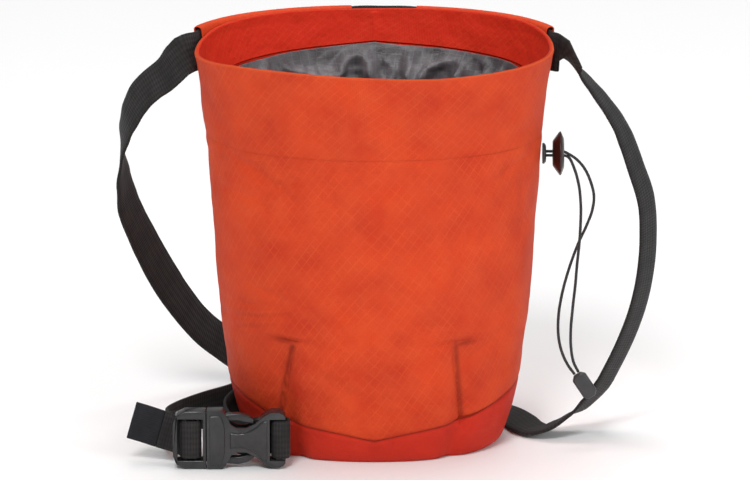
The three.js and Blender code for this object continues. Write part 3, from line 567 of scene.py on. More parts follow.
@dataclass(frozen=True)
class PouchForm:
    """The outer surface of the pouch, as the solids have it."""

    height: float = 0.165
    half_width: float = 0.073
    half_depth: float = 0.053
    power: float = 2.15
    collar_foot: float = 0.795
    facing: float = 0.013
    facing_side: float = 0.019
    dart_turn: float = -0.6 * math.pi / 2
    dart_depth: float = 2.2 * MM
    dart_width: float = 5 * MM
    outline: tuple[Row, ...] = (
        (0.0, 0.69, 0.68), (0.012, 0.722, 0.712), (0.034, 0.742, 0.735), (0.097, 0.786, 0.775),
        (0.169, 0.822, 0.815), (0.225, 0.84, 0.845), (0.355, 0.873, 0.9), (0.484, 0.899, 0.93),
        (0.613, 0.92, 0.945), (0.742, 0.933, 0.955), (0.806, 0.944, 0.963), (0.871, 0.963, 0.972),
        (0.922, 0.976, 0.983), (1.0, 1.0, 1.0),
    )
    mouth_rise: tuple[Row, ...] = (
        (0.0, 0.006), (0.05, 0.02), (0.1, 0.028), (0.18, 0.029), (0.25, 0.026), (0.36, 0.024), (0.42, 0.018),
        (0.46, 0.006), (0.5, -0.004), (0.555, 0.002), (0.62, 0.01), (0.68, 0.013), (0.735, 0.007),
        (0.79, 0.001), (0.85, 0.001), (0.92, 0.004), (1.0, 0.006),
    )
    boot_seam: tuple[Row, ...] = (
        (0.0, 0.06), (0.15, 0.078), (0.4, 0.1), (0.6, 0.128), (0.8, 0.154), (1.0, 0.17),
    )
    gathers: tuple[Row, ...] = (
        (0.07, 0.08, 0.03, 0.8), (0.15, 0.13, 0.035, 0.77), (0.225, 0.17, 0.04, 0.79),
        (0.3, 0.12, 0.03, 0.76), (0.37, 0.15, 0.04, 0.78), (0.45, 0.09, 0.03, 0.8), (0.58, 0.1, 0.04, 0.77),
        (0.68, 0.12, 0.035, 0.78), (0.77, 0.09, 0.04, 0.76), (0.88, 0.12, 0.035, 0.78),
    )

    @staticmethod
    def turn_at(angle: float) -> float:
        """Share of a whole turn for an angle."""
        return (angle / (2 * math.pi)) % 1

    def angle_at(self, point: Vector) -> float:
        """The angle that a point of the pouch lies at."""
        return math.atan2(point.y / self.half_depth, point.x / self.half_width)

    def side_share(self, angle: float) -> float:
        """Share of the way from the front or back middle round to the side."""
        return 1 - math.asin(min(1.0, abs(math.sin(angle)))) / (math.pi / 2)

    def boot_top(self, angle: float) -> float:
        """Height of the boot's seam at that angle."""
        return from_table(self.boot_seam, 1, self.side_share(angle)) * self.height

    def mouth_top(self, angle: float) -> float:
        """Height of the rim at that angle."""
        return self.height * (1 + from_table(self.mouth_rise, 1, self.turn_at(angle)))

    def facing_reach(self, angle: float) -> float:
        """How far the facing reaches down from the rim at that angle."""
        share = self.side_share(angle) ** 0.7
        return self.facing + (self.facing_side - self.facing) * share

    def dart_inset(self, angle: float, height: float) -> float:
        """How far the two darts draw the front in at that place."""
        share = clamp((0.32 - height / self.height) / 0.18)
        total = 0.0
        for middle in (self.dart_turn, -math.pi - self.dart_turn):
            away = math.atan2(math.sin(angle - middle), math.cos(angle - middle)) * self.half_depth
            total += self.dart_depth * share * bell(away, self.dart_width)
        return total

    def gather_inset(self, angle: float, height: float) -> float:
        """How far the lining's gathers stand in from the wall at that place."""
        turn = self.turn_at(angle)
        total = 0.0
        for middle, inward, width, level in self.gathers:
            away = abs(turn - middle)
            total += inward * bell(min(away, 1 - away), width) * bell(height / self.height - level, 0.13)
        return total * self.half_depth

    def point(self, angle: float, height: float, inset: float = 0.0) -> Vector:
        """A point of the outer surface, moved inwards by inset; past the rim the wall runs straight up."""
        level = min(height, self.height)
        share = clamp(level / self.height)
        inward = inset + self.dart_inset(angle, level)
        half_width = self.half_width * from_table(self.outline, 1, share) - inward
        half_depth = self.half_depth * from_table(self.outline, 2, share) - inward
        cosine, sine = math.cos(angle), math.sin(angle)
        power = 2 / self.power
        across = half_width * math.copysign(abs(cosine) ** power, cosine)
        return Vector((across, half_depth * math.copysign(abs(sine) ** power, sine), height))


@dataclass(frozen=True)
class Crease:
    """A shallow dent line in the front cloth.

    Its middle, half length, half width and depth are in mm and its slant in degrees.
    """

    across: float
    up: float
    reach: float
    width: float
    depth: float
    slant: float

    def inset(self, point: Vector) -> float:
        """How far the cloth dips at that point of the front."""
        if point.y > 0:
            return 0.0
        dx, dz = point.x / MM - self.across, point.z / MM - self.up
        turn = math.radians(self.slant)
        ahead = dx * math.cos(turn) + dz * math.sin(turn)
        aside = dz * math.cos(turn) - dx * math.sin(turn)
        return self.depth * MM * bell(ahead, self.reach) * bell(aside, self.width)


@dataclass(frozen=True)
class Pleat:
    """A stitched dart in the front: its top and foot in mm, as (across, up)."""

    top: tuple[float, float]
    foot: tuple[float, float]

    def place(self, point: Vector) -> tuple[float, float]:
        """Share of the way down the dart and the distance to its line in mm, positive towards the middle."""
        (x0, z0), (x1, z1) = self.top, self.foot
        dx, dz = x1 - x0, z1 - z0
        reach = math.hypot(dx, dz)
        px, pz = point.x / MM - x0, point.z / MM - z0
        ahead = (px * dx + pz * dz) / reach
        aside = (px * dz - pz * dx) / reach
        inward = aside if x0 < 0 else -aside
        return ahead / reach, -inward

    def inset(self, point: Vector) -> float:
        """How far the cloth dips at that point: a stitched groove with a hollow on its outer side."""
        if point.y > 0:
            return 0.0
        down, aside = self.place(point)
        held = clamp(down * 6 + 0.4) * clamp((1.25 - down) * 6)
        hollow = 1.1 * bell(aside, 7.0) if aside < 0 else 0.5 * bell(aside, 3.0)
        lift = -0.35 * bell(aside - 5.0, 3.5)
        return (0.9 * bell(aside, 0.9) + hollow + lift) * MM * held

    def shade(self, point: Vector) -> float:
        """How much of the dart's shadow line falls on that point."""
        if point.y > 0:
            return 0.0
        down, aside = self.place(point)
        held = clamp(down * 12 + 0.5) * clamp((1.06 - down) * 14)
        cap = 0.8 * bell(down * 32, 1.1) * bell(aside + 4.0, 4.5)
        return max(0.8 * bell(aside, 1.05) * held, cap)


@dataclass
class Pouch:
    """Collar with its facing, tapered body, boot and lining."""

    form: PouchForm = field(default_factory=PouchForm)
    columns: int = 480
    wall: float = 1.8 * MM
    facing_wall: float = 2.6 * MM
    rim: float = 1.7 * MM
    gap: float = 0.3 * MM
    seam_gap: float = 0.04 * MM
    hem: float = 0.7 * MM
    lining_drop: float = 0.3 * MM
    lining_floor: float = 3.6 * MM
    boot_floor: float = 2.0 * MM
    collar_cuts: Row = (0.0, 0.42, 0.58, 0.82, 0.86, 1.0)
    body_cuts: Row = (0.0, 0.8, 0.83, 0.97, 1.0)
    boot_cuts: Row = (0.0, 0.2, 0.75, 0.9, 1.0)
    liner_cuts: Row = (0.0, 0.88, 1.0)
    creases: tuple[Crease, ...] = (
        Crease(-46, 122, 14, 2.2, 0.55, -32), Crease(-40, 117, 11, 2.0, 0.5, 28),
        Crease(-52, 112, 9, 2.2, 0.4, -12), Crease(-30, 127, 16, 2.4, 0.35, 4),
        Crease(30, 128, 18, 2.4, 0.3, -3), Crease(52, 121, 10, 2.2, 0.4, 26),
        Crease(-50, 66, 10, 1.4, 0.4, 6), Crease(-47, 61, 12, 1.3, 0.45, 12),
        Crease(-49, 56, 9, 1.3, 0.35, 18), Crease(-34, 53, 8, 1.1, 0.7, -4), Crease(34, 52, 9, 1.1, 0.7, 5),
        Crease(-42, 72, 12, 1.8, 0.3, -20), Crease(24, 60, 16, 2.4, 0.35, -8),
        Crease(45, 48, 12, 2.2, 0.4, 38), Crease(10, 40, 16, 3.0, 0.35, 24),
        Crease(-14, 34, 14, 3.0, 0.3, -28), Crease(0, 100, 26, 5.0, 0.35, 14),
        Crease(-20, 84, 20, 4.0, 0.3, 48),
    )
    pleats: tuple[Pleat, ...] = (Pleat((-33.0, 52.0), (-38.5, 20.0)), Pleat((33.0, 51.0), (35.6, 18.5)))

    def angle(self, turn: float) -> float:
        """Angle for a share of the way round, from the seam at the back."""
        return math.pi / 2 + 2 * math.pi * turn

    def hang(self, point: Vector, pinned: float) -> float:
        """How far the cloth dips at a point of the outside; pinned is 0 at a seam and 1 in open cloth."""
        seed = point * 26.0
        broad = noise.noise(seed) * 0.55 + noise.noise(seed * 2.3 + Vector((5, 1, 7))) * 0.28
        fine = noise.noise(seed * 6.0 + Vector((2, 8, 3))) * 0.1
        dips = sum(crease.inset(point) for crease in self.creases)
        pleats = sum(pleat.inset(point) for pleat in self.pleats) if point.z < 60 * MM else 0.0
        return (broad * 1.7 + fine * 1.6 + 0.3) * MM * pinned + dips * (0.6 + 1.5 * pinned) + pleats

    def outside(self, angle: float, height: float, pinned: float, inset: float = 0.0) -> Vector:
        """A point of the outer cloth with its soft dents."""
        bare = self.form.point(angle, height)
        dent = max(-0.3 * MM, self.hang(bare, pinned))
        return self.form.point(angle, height, inset + dent)

    def shade(self, point: Vector) -> float:
        """How much of a seam's or dart's shadow line falls on a point of the outside."""
        form = self.form
        seam = 0.06 * bell(point.z - form.collar_foot * form.height, 0.6 * MM)
        boot = 0.75 * bell(point.z - form.boot_top(form.angle_at(point)), 0.6 * MM)
        return max(seam, boot, *(pleat.shade(point) for pleat in self.pleats))

    def collar(self) -> Piece:
        """The band at the mouth, folded over the rim into the facing, with a thin wall behind it."""
        form = self.form
        foot = form.collar_foot * form.height + self.seam_gap
        half = self.rim / 2

        def place(turn: float, share: float) -> Vector:
            angle = self.angle(turn)
            waver = noise.noise(Vector((math.cos(angle) * 2, math.sin(angle) * 2, 5)))
            top = form.mouth_top(angle) + 0.35 * MM * waver
            reach = form.facing_reach(angle)
            back_seam = 0.5 * MM * bell(min(turn, 1 - turn) * 400, 1.0)
            step, way = stretch(share, self.collar_cuts)
            if step == 0:
                tuck = 0.12 * MM * bell(way, 0.06) - 0.25 * MM * bell(way - 1, 0.05)
                pinned = clamp(min(0.35 + way * 5, (1 - way) * 3))
                return self.outside(angle, foot + (top - half - foot) * way, pinned, tuck + back_seam)
            if step == 1:
                level = min(top - half, form.height)
                middle = form.point(angle, level, half)
                point = middle - (middle - form.point(angle, level)) * math.cos(way * math.pi)
                ripple = 0.12 * MM * noise.noise(Vector((angle * 9, 0, 3)))
                point.z = top - half + (half + ripple) * math.sin(way * math.pi)
                return point
            if step == 2:
                height = top - half - (reach - half) * way
                soft = noise.noise(Vector((angle * 4, way * 1.5, 9))) * 0.3 * MM * math.sin(way * math.pi)
                wall = self.rim + (self.facing_wall - self.rim) * way
                return form.point(angle, height, wall + soft + back_seam * 1.4)
            low = top - reach - self.hem
            if step == 3:
                inset = self.facing_wall - (self.facing_wall - self.wall) * way
                return form.point(angle, top - reach - self.hem * way, inset)
            return form.point(angle, low + (foot - low) * way, self.wall)

        return wrapped_sheet("collar_cloth", self.columns, 100, place)

    def body(self) -> Piece:
        """The tapered tube below the collar, tucked in at both seams."""
        form = self.form
        top = form.collar_foot * form.height - self.seam_gap
        edge = 0.4 * MM

        def place(turn: float, share: float) -> Vector:
            angle = self.angle(turn)
            foot = form.boot_top(angle) + 0.1 * MM
            step, way = stretch(share, self.body_cuts)
            if step == 0:
                below, above = (1 - way) * (top - foot), way * (top - foot)
                tuck = 0.12 * MM * bell(below, 2.0 * MM) + 0.45 * MM * bell(above, 0.9 * MM)
                swell = -0.2 * MM * bell(below - 3.2 * MM, 1.6 * MM)
                pinned = clamp(min(way * 9, 0.35 + (1 - way) * 12))
                return self.outside(angle, foot + above, pinned, tuck + swell)
            if step == 1:
                return form.point(angle, top, edge + (self.wall - edge) * way)
            if step == 2:
                return form.point(angle, top + (foot - top) * way, self.wall)
            return form.point(angle, foot, self.wall - (self.wall - edge) * way)

        return wrapped_sheet("body_cloth", self.columns, 140, place)

    def boot(self) -> Piece:
        """The base panel: flat bottom, rounded lower edge and a wall up to its curved seam."""
        form = self.form
        floor, edge = self.boot_floor, 0.45 * MM

        def place(turn: float, share: float) -> Vector:
            angle = self.angle(turn)
            top = form.boot_top(angle)
            step, way = stretch(share, self.boot_cuts)
            if step == 0:
                return drawn_in(form.point(angle, 0.0), way)
            if step == 1:
                tuck = edge * bell((1 - way) * top, 0.9 * MM)
                return self.outside(angle, top * way**1.35, clamp(min(way * 4, (1 - way) * 5)) * 0.6, tuck)
            if step == 2:
                inset = edge + (self.wall - edge) * clamp(way * 6)
                return form.point(angle, top + (floor - top) * way, inset)
            return drawn_in(form.point(angle, floor, self.wall), 1 - way)

        return wrapped_sheet("boot_cloth", self.columns, 80, place)

    def lining_top(self, angle: float) -> float:
        """Height of the lining's upper edge, just under the facing."""
        return self.form.mouth_top(angle) - self.form.facing_reach(angle) - self.lining_drop

    def liner(self) -> Piece:
        """The gathered lining, from under the facing to the bottom of the pouch."""
        form, low = self.form, self.lining_floor
        outside = self.wall + 3 * self.gap

        def place(turn: float, share: float) -> Vector:
            angle = self.angle(turn)
            top = self.lining_top(angle)
            step, way = stretch(share, self.liner_cuts)
            if step == 1:
                return drawn_in(form.point(angle, low, outside + 1.6 * MM), 1 - way)
            down = way**1.25
            height = top + (low - top) * down
            slack = clamp(down * 14) * clamp((1 - down) * 4)
            seed = Vector((math.cos(angle) * 4.2, math.sin(angle) * 4.2, height * 55))
            ridge = 1 - abs(noise.noise(seed)) * 4.2
            small = 1 - abs(noise.noise(seed * 2.6 + Vector((4, 4, 4)))) * 2.6
            drape = (max(ridge, 0) * 7.0 + max(small, 0) * 2.0) * MM * slack
            return form.point(angle, height, outside + self.gap + form.gather_inset(angle, height) + drape)

        # painted shade: darkens the recesses where the lining lies back against the wall, between its folds,
        # below its top 4 mm
        def hollow_shade(point: Vector) -> float:
            angle = form.angle_at(point)
            wall = form.point(angle, max(point.z, low), outside)
            stand = math.hypot(wall.x - point.x, wall.y - point.y) / MM
            near = self.lining_top(angle) - point.z
            return clamp((5.0 - stand) / 4.0) * clamp(near / (4 * MM)) * 0.95

        piece = wrapped_sheet("lining_cloth", 260, 120, place)
        store_shade(piece, hollow_shade)
        apply_modifier(piece, "SOLIDIFY", thickness=0.5 * MM, offset=-1.0)
        return piece

    def build(self) -> list[Piece]:
        """Builds and dresses the four cloth pieces."""
        shell = {"base": ORANGE, "light": ORANGE_LIGHT, "deep": ORANGE_DEEP, "across": 400.0}
        collar, body, boot, liner = self.collar(), self.body(), self.boot(), self.liner()
        for piece in (collar, body, boot):
            store_shade(piece, self.shade)
            settle(piece, piece.name, smooth=50.0)
        band = ShellCloth("orange_collar", along=95.0, facing=FACING_SHADE_RED, **shell)
        finish(collar, band.make(), "orange_cloth", "collar")
        finish(body, ShellCloth("orange_body", along=135.0, **shell).make(), "orange_cloth", "body")
        red = ShellCloth("red_boot", RED, RED_LIGHT, RED_DEEP, 330.0, 60.0, Weave.PLAIN, 0.04, 0.6)
        finish(boot, red.make(), "red_cloth", "boot")
        finish(liner, Lining().make(), "lining", "liner")
        return [collar, body, boot, liner]


# ---- straps and cords


@dataclass
class Route:
    """A smooth line through points, with a width direction at each, as the solids' straps have it."""

    points: list[Vector]
    widths: list[Vector]
    steps: int = 14
    line: list[Vector] = field(default_factory=list)
    ahead: list[Vector] = field(default_factory=list)
    across: list[Vector] = field(default_factory=list)
    reach: list[float] = field(default_factory=list)

    def __post_init__(self) -> None:
        """Lays out the line between the points."""
        count = len(self.points)
        for index in range(count - 1):
            b, c = self.points[index], self.points[index + 1]
            a = self.points[index - 1] if index else b * 2 - c
            d = self.points[index + 2] if index + 2 < count else c * 2 - b
            last = index == count - 2
            for step in range(self.steps + (1 if last else 0)):
                t = step / self.steps
                self.line.append(self.between(a, b, c, d, t))
                smooth = t * t * (3 - 2 * t)
                self.across.append(self.widths[index].lerp(self.widths[index + 1], smooth))
        self.reach = [0.0]
        for before, after in zip(self.line, self.line[1:]):
            self.reach.append(self.reach[-1] + (after - before).length)
        for index in range(len(self.line)):
            low, high = max(index - 1, 0), min(index + 1, len(self.line) - 1)
            tangent = (self.line[high] - self.line[low]).normalized()
            self.ahead.append(tangent)
            side = self.across[index]
            self.across[index] = (side - tangent * side.dot(tangent)).normalized()

    @staticmethod
    def between(a: Vector, b: Vector, c: Vector, d: Vector, t: float) -> Vector:
        """A point between b and c on the centripetal curve through four points."""
        gap_a, gap_b, gap_c = [max((q - p).length ** 0.5, 1e-5) for p, q in ((a, b), (b, c), (c, d))]
        slope_b = ((b - a) / gap_a - (c - a) / (gap_a + gap_b) + (c - b) / gap_b) * gap_b
        slope_c = ((c - b) / gap_b - (d - b) / (gap_b + gap_c) + (d - c) / gap_c) * gap_b
        square, cube = t * t, t * t * t
        return (
            b * (2 * cube - 3 * square + 1)
            + slope_b * (cube - 2 * square + t)
            + c * (3 * square - 2 * cube)
            + slope_c * (cube - square)
        )

    @property
    def length(self) -> float:
        """Length of the line in metres."""
        return self.reach[-1]

    def at(self, share: float) -> tuple[Vector, Vector, Vector]:
        """Point, width direction and heading at a share of the length."""
        where = share * self.length
        after = min(max(bisect_right(self.reach, where), 1), len(self.reach) - 1)
        span = max(self.reach[after] - self.reach[after - 1], 1e-9)
        t = clamp((where - self.reach[after - 1]) / span)
        point = self.line[after - 1].lerp(self.line[after], t)
        across = self.across[after - 1].lerp(self.across[after], t).normalized()
        ahead = self.ahead[after - 1].lerp(self.ahead[after], t).normalized()
        return point, across, ahead


def strap(name: str, route: Route, width: float, thickness: float, run: float = 2.2 * MM) -> Piece:
    """A flat strap with rounded edges swept along a route.

    Args:
        name: Name of the piece.
        route: The line it follows.
        width: Its width in metres.
        thickness: Its thickness in metres.
        run: Distance between two sections in metres.

    Returns:
        The closed strap.
    """
    flat = [(-1.0, 0.0), (-0.985, 0.6), (-0.94, 1.0), (-0.5, 1.0)]
    flat += [(0.0, 1.0), (0.5, 1.0), (0.94, 1.0), (0.985, 0.6)]
    section = flat + [(-side, -face) for side, face in flat]
    count = len(section)

    def place(around: float, share: float) -> Vector:
        side, face = section[round(around * count) % count]
        point, across, ahead = route.at(share)
        through = across.cross(ahead)
        return point + across * (side * width / 2) + through * (face * thickness / 2)

    return wrapped_sheet(name, count, max(8, round(route.length / run)), place, caps=True)


def tube(name: str, route: Route, diameter: float, run: float = 0.8 * MM) -> Piece:
    """A round cord swept along a route, with closed ends."""
    sides = 12

    def place(around: float, share: float) -> Vector:
        point, across, ahead = route.at(share)
        turn = 2 * math.pi * around
        return point + (across * math.cos(turn) + across.cross(ahead) * math.sin(turn)) * diameter / 2

    return wrapped_sheet(name, sides, round(route.length / run), place, caps=True)


@dataclass
class Belt:
    """The waist belt: webbing through the sleeves, the bare label on its tail and the buckle.

    The numbers that start with buckle are in mm, in the buckle's own frame.
    """

    form: PouchForm = field(default_factory=PouchForm)
    web: float = 16 * MM
    thick: float = 1.3 * MM
    clearance: float = 0.6 * MM
    sleeve_wall: float = 0.7 * MM
    sleeve_gap: float = 0.3 * MM
    mouth_columns: int = 60
    behind_up: float = 0.972
    mouth_flare: float = 0.15
    around: float = 34.6
    buckle_half: float = 3.45
    buckle_length: float = 32
    buckle_slots: tuple[float, float] = (26.9, -2.9)
    buckle_centre: Vector = field(default_factory=lambda: Vector((-0.932 * 0.073, -0.793 * 0.053, 0.0122)))
    beside_bag: tuple[Row, ...] = (
        (-0.685, -0.632, 0, 0.62, 0, 0, -1), (-0.788, -0.462, 0, 0.54, 0, 0, -1),
        (-0.836, -0.226, 0, 0.53, 0, 0, -1), (-0.84, 0, 0, 0.53, 0, 0, -1), (-0.812, 0.16, 0, 0.53, 0, 0, -1),
        (-0.772, 0.311, 0, 0.53, 0, 0, -1), (-0.705, 0.434, 0, 0.53, 0, 0, -1),
        (-0.584, 0.594, 0, 0.53, 0, 0, -1), (-0.425, 0.721, 0, 0.53, 0, 0, -1),
        (-0.22, 0.82, 0, 0.54, 0, -0.15, -1), (0.0, 0.9, 0, 0.48, 0, -0.8, -1),
        (0.2, 0.93, 0, 0.28, -0.1, -1, -0.35), (0.41, 0.875, 0, 0.08, -0.4, -1, 0),
        (0.6, 0.74, 0, 0.06, -0.7, -0.8, 0), (0.74, 0.57, 0, 0.06, -0.9, -0.5, 0),
        (0.82, 0.37, 0, 0.06, -1, -0.3, 0), (0.865, 0.18, 0, 0.07, -0.8, -0.6, 0),
        (0.93, 0.04, 0, 0.12, -0.4, -1, 0.03), (1.01, 0.0, 0, 0.27, -0.1, -1, 0.12),
    )
    right_arc: tuple[Row, ...] = (
        (1.1, 0.02, 0.05, 0, -0.03, -0.97, 0.25), (1.2, 0.049, 0.08, 0, -0.21, -0.89, 0.4),
        (1.295, 0.075, 0.127, 0, -0.36, -0.86, 0.37), (1.336, 0.079, 0.16, 0, -0.42, -0.87, 0.25),
        (1.429, 0.094, 0.248, 0, -0.44, -0.87, 0.21), (1.496, 0.1, 0.336, 0, -0.45, -0.88, 0.15),
        (1.534, 0.113, 0.426, 0, -0.45, -0.89, 0.09), (1.545, 0.121, 0.515, 0, -0.44, -0.9, 0.03),
        (1.53, 0.132, 0.604, 0, -0.41, -0.91, -0.04), (1.473, 0.142, 0.683, 0, -0.37, -0.93, -0.08),
        (1.421, 0.151, 0.749, 0, -0.35, -0.94, -0.06), (1.37, 0.17, 0.798, 0, -0.28, -0.96, -0.03),
        (1.281, 0.198, 0.855, 0, -0.22, -0.98, 0.01), (1.205, 0.223, 0.896, 0, -0.11, -0.99, 0.02),
        (1.126, 0.226, 0.937, 0, 0.05, -1, 0.07), (1.08, 0.17, 0.963, 0, 0.16, -0.92, 0.36),
        (1.045, 0.165, 0.974, 0, 0.3, -0.35, 0.9),
    )
    behind_mouth: tuple[float, ...] = (
        0.08, 0.1, 0.1333, 0.2, 0.3, 0.4, 0.44, 0.485, 0.525, 0.57, 0.63, 0.7, 0.8, 0.8667, 0.9, 0.92,
    )
    left_arc: tuple[Row, ...] = (
        (-1.05, 0.16, 0.974, 0, -0.4, 0.15, 0.9), (-1.095, 0.17, 0.958, 0, -0.59, 0.55, 0.59),
        (-1.171, 0.226, 0.916, 0, -0.44, 0.7, 0.57), (-1.249, 0.245, 0.888, 0, -0.38, 0.74, 0.56),
        (-1.314, 0.264, 0.857, 0, -0.44, 0.77, 0.46), (-1.364, 0.292, 0.815, 0, -0.4, 0.84, 0.37),
        (-1.403, 0.33, 0.765, 0, -0.25, 0.93, 0.28), (-1.425, 0.377, 0.7, 0, -0.01, 0.97, 0.24),
        (-1.419, 0.434, 0.628, 0, 0.26, 0.92, 0.3), (-1.396, 0.509, 0.557, 0, 0.43, 0.82, 0.38),
        (-1.359, 0.566, 0.507, 0, 0.43, 0.77, 0.47), (-1.299, 0.66, 0.438, 0, 0.48, 0.71, 0.52),
        (-1.24, 0.755, 0.375, 0, 0.5, 0.66, 0.57), (-1.181, 0.858, 0.318, 0, 0.48, 0.63, 0.61),
        (-1.123, 0.962, 0.267, 0, 0.4, 0.64, 0.66), (-1.007, 1.151, 0.181, 0, 0.26, 0.6, 0.75),
        (-0.904, 1.292, 0.127, 0, 0.1, 0.5, 0.85), (-0.78, 1.43, 0.08, 0, 0, 0.25, 1),
        (-0.6, 1.54, 0, 0.57, 0, 0, 1), (-0.4, 1.57, 0, 0.53, 0, 0, 1), (-0.24, 1.49, 0, 0.53, 0, 0, 1),
        (-0.17, 1.32, 0, 0.53, 0, 0, 1), (-0.24, 1.12, 0, 0.53, 0, 0, 1), (-0.44, 0.85, 0, 0.53, 0, 0, 1),
        (-0.63, 0.67, 0, 0.53, 0, 0, 1), (-0.755, 0.487, 0, 0.53, 0, 0, 1), (-0.83, 0.345, 0, 0.53, 0, 0, 1),
        (-0.973, 0.138, 0, 0.54, 0, 0, 1), (-1.105, -0.113, 0, 0.56, 0, 0, 1),
        (-1.165, -0.33, 0, 0.6, 0, 0, 1), (-1.145, -0.48, 0, 0.65, 0, 0, 1),
    )

    def beside_wall(self, share: float, off: float, above: float) -> Vector:
        """A point off the wall behind the mouth.

        Args:
            share: Share of the half turn from right to left.
            off: How far off the wall.
            above: How far above the belt's middle.

        Returns:
            The point.
        """
        height = self.behind_up * self.form.height + above
        flare = max(0.0, height - self.form.height) * self.mouth_flare
        point = self.form.point(share * math.pi, min(height, self.form.height), -off - flare)
        point.z = height
        return point

    def table_rows(self, rows: Iterable[Row]) -> list[Stop]:
        """Points and width directions of a table's rows."""
        form, stops = self.form, []
        for across, back, up, lift, *width in rows:
            height = up * form.height + lift * self.web
            point = Vector((across * form.half_width, back * form.half_depth, height))
            stops.append((point, Vector(width).normalized()))
        return stops

    def buckle_row(self, along: float, back: float, up: float = 0.0, lean: float = 0.0) -> Stop:
        """A row in the buckle's frame, in millimetres from the middle of the socket's mouth."""
        return as_metres((along, back, up)) + self.buckle_centre, Vector((lean, 0, 1)).normalized()

    def over_bar(self) -> tuple[float, float, float]:
        """The buckle's half thickness, the strap's thickness and where its middle lies over a bar."""
        half, web = self.buckle_half, self.thick / MM
        return half, web, -(half - web - 0.55) - web / 2 - 0.35

    def socket_end(self) -> list[Stop]:
        """The belt's end round the socket's bar."""
        (half, web, front), slot = self.over_bar(), self.buckle_slots[0]
        right = self.buckle_length + web
        spots = (
            (slot, 1.4), (slot, front + 2.1), (slot + 0.3, front + 0.7), (slot + 1.3, front),
            (30.1, front - 0.1), (32.1, front - 0.1), (right - 0.2, front + 0.9), (right, front + 2.9),
            (right - 0.8, half - 0.5), (right - 3.6, half + web), (right - 7.5, half + web + 0.5),
        )
        return [(point, -width) for point, width in (self.buckle_row(*spot) for spot in spots)]

    def plug_end(self) -> list[Stop]:
        """The belt's end over the plug's bar, and its short tail."""
        (half, web, front), slot = self.over_bar(), self.buckle_slots[1]
        far = slot - 2.6 - 4.4 - 0.8
        spots = (
            (slot - 7.5, half + 7.3), (slot - 3.2, half + 3.2), (slot - 0.5, half), (slot, 0.2),
            (slot - 0.1, front + 1.1), (slot - 1, front + 0.1), (slot - 2.9, front - 0.1),
            (far + 2.3, front - 0.1), (far + 0.9, front + 0.5), (far + 0.3, -0.9), (far + 0.2, 0.8),
            (far - 1.1, half - 0.4, 0.1), (far - 3.3, half + web, 0.6, 0.1),
            (far - 5.8, half + web + 0.7, 1.3, 0.22), (far - 8.3, half + web + 1.1, 2.0, 0.25),
        )
        return [self.buckle_row(*spot) for spot in spots]

    def webbing(self) -> Piece:
        """The one strap from buckle to buckle."""
        behind = []
        for share in self.behind_mouth:
            off = self.thick / 2 + self.sleeve_gap + self.sleeve_wall + self.clearance
            lift = 1.15 * MM * clamp((0.056 - abs(share - 0.483)) / 0.012)
            edges = [self.beside_wall(share, off, side * self.web / 2 + lift) for side in (-1, 0, 1)]
            behind.append((edges[1], (edges[2] - edges[0]).normalized()))
        rows = [
            *self.socket_end(), *self.table_rows(self.beside_bag), *self.table_rows(self.right_arc), *behind,
            *self.table_rows(self.left_arc), *self.plug_end(),
        ]
        route = Route([row[0] for row in rows], [row[1] for row in rows])
        piece = strap("belt_webbing", route, self.web, self.thick, 1.6 * MM)
        log.info("belt is %.3f m long", route.length)
        black, worn = (0.012, 0.0105, 0.0105, 1.0), (0.06, 0.056, 0.055, 1.0)
        cloth = Webbing("black_webbing", black, worn, self.around, route.length / MM)
        return finish(piece, cloth.make(), "webbing", "belt")

    def label(self) -> Piece:
        """The folded tab on the belt's tail, left bare."""
        rows = self.plug_end()[-2:]
        heading = (rows[1][0] - rows[0][0]).normalized()
        start = rows[1][0] + heading * 0.05 * MM
        end = start + heading * 12.5 * MM
        middle = start.lerp(end, 0.5) + Vector((0, 0.3 * MM, 0))
        route = Route([start, middle, end], [rows[1][1]] * 3)
        piece = strap("tail_label", route, self.web, 1.6 * MM, 0.9 * MM)
        round_edges(piece, 0.35 * MM, 2, 50)
        black, worn = (0.008, 0.008, 0.0105, 1.0), (0.05, 0.05, 0.06, 1.0)
        tape = Webbing("label_tape", black, worn, self.around, 12.5, 0.45, 0.5)
        return finish(piece, tape.make(), "label", "belt_label")

    def sleeve(self, name: str, node: str, first: int, last: int) -> Piece:
        """One flat cloth tunnel behind the rim, from one column of the mouth to another."""
        inside = self.sleeve_gap + self.sleeve_wall + self.clearance
        outer = inside + self.thick + self.clearance + self.sleeve_wall
        near, far = self.sleeve_gap + self.sleeve_wall / 2, outer - self.sleeve_wall / 2
        half = self.web / 2 + 1.25 * MM
        side = 9
        corner = [(near, -half + 2 * half * i / side) for i in range(side + 1)]
        loop = corner + [(far, half - 2 * half * i / side) for i in range(side + 1)]
        count = len(loop)

        def place(around: float, share: float) -> Vector:
            off, above = loop[round(around * count) % count]
            turn = (2 * (first + (last - first) * share)) / self.mouth_columns
            loose = clamp(min(share, 1 - share) * 14)
            puff = 0.25 * MM * noise.noise(Vector((turn * 14, above * 120, off * 300))) * loose
            return self.beside_wall(turn, off + puff * (1 if off > near else 0), above)

        piece = wrapped_sheet(name, count, 70, place)
        apply_modifier(piece, "SOLIDIFY", thickness=0.6 * MM, offset=0.0)
        subdivide_smooth(piece)
        cloth = ShellCloth(name + "_cloth", ORANGE, ORANGE_LIGHT, ORANGE_DEEP, 42.0, 90.0, patches=0.4)
        return finish(piece, cloth.make(), "orange_cloth", node)

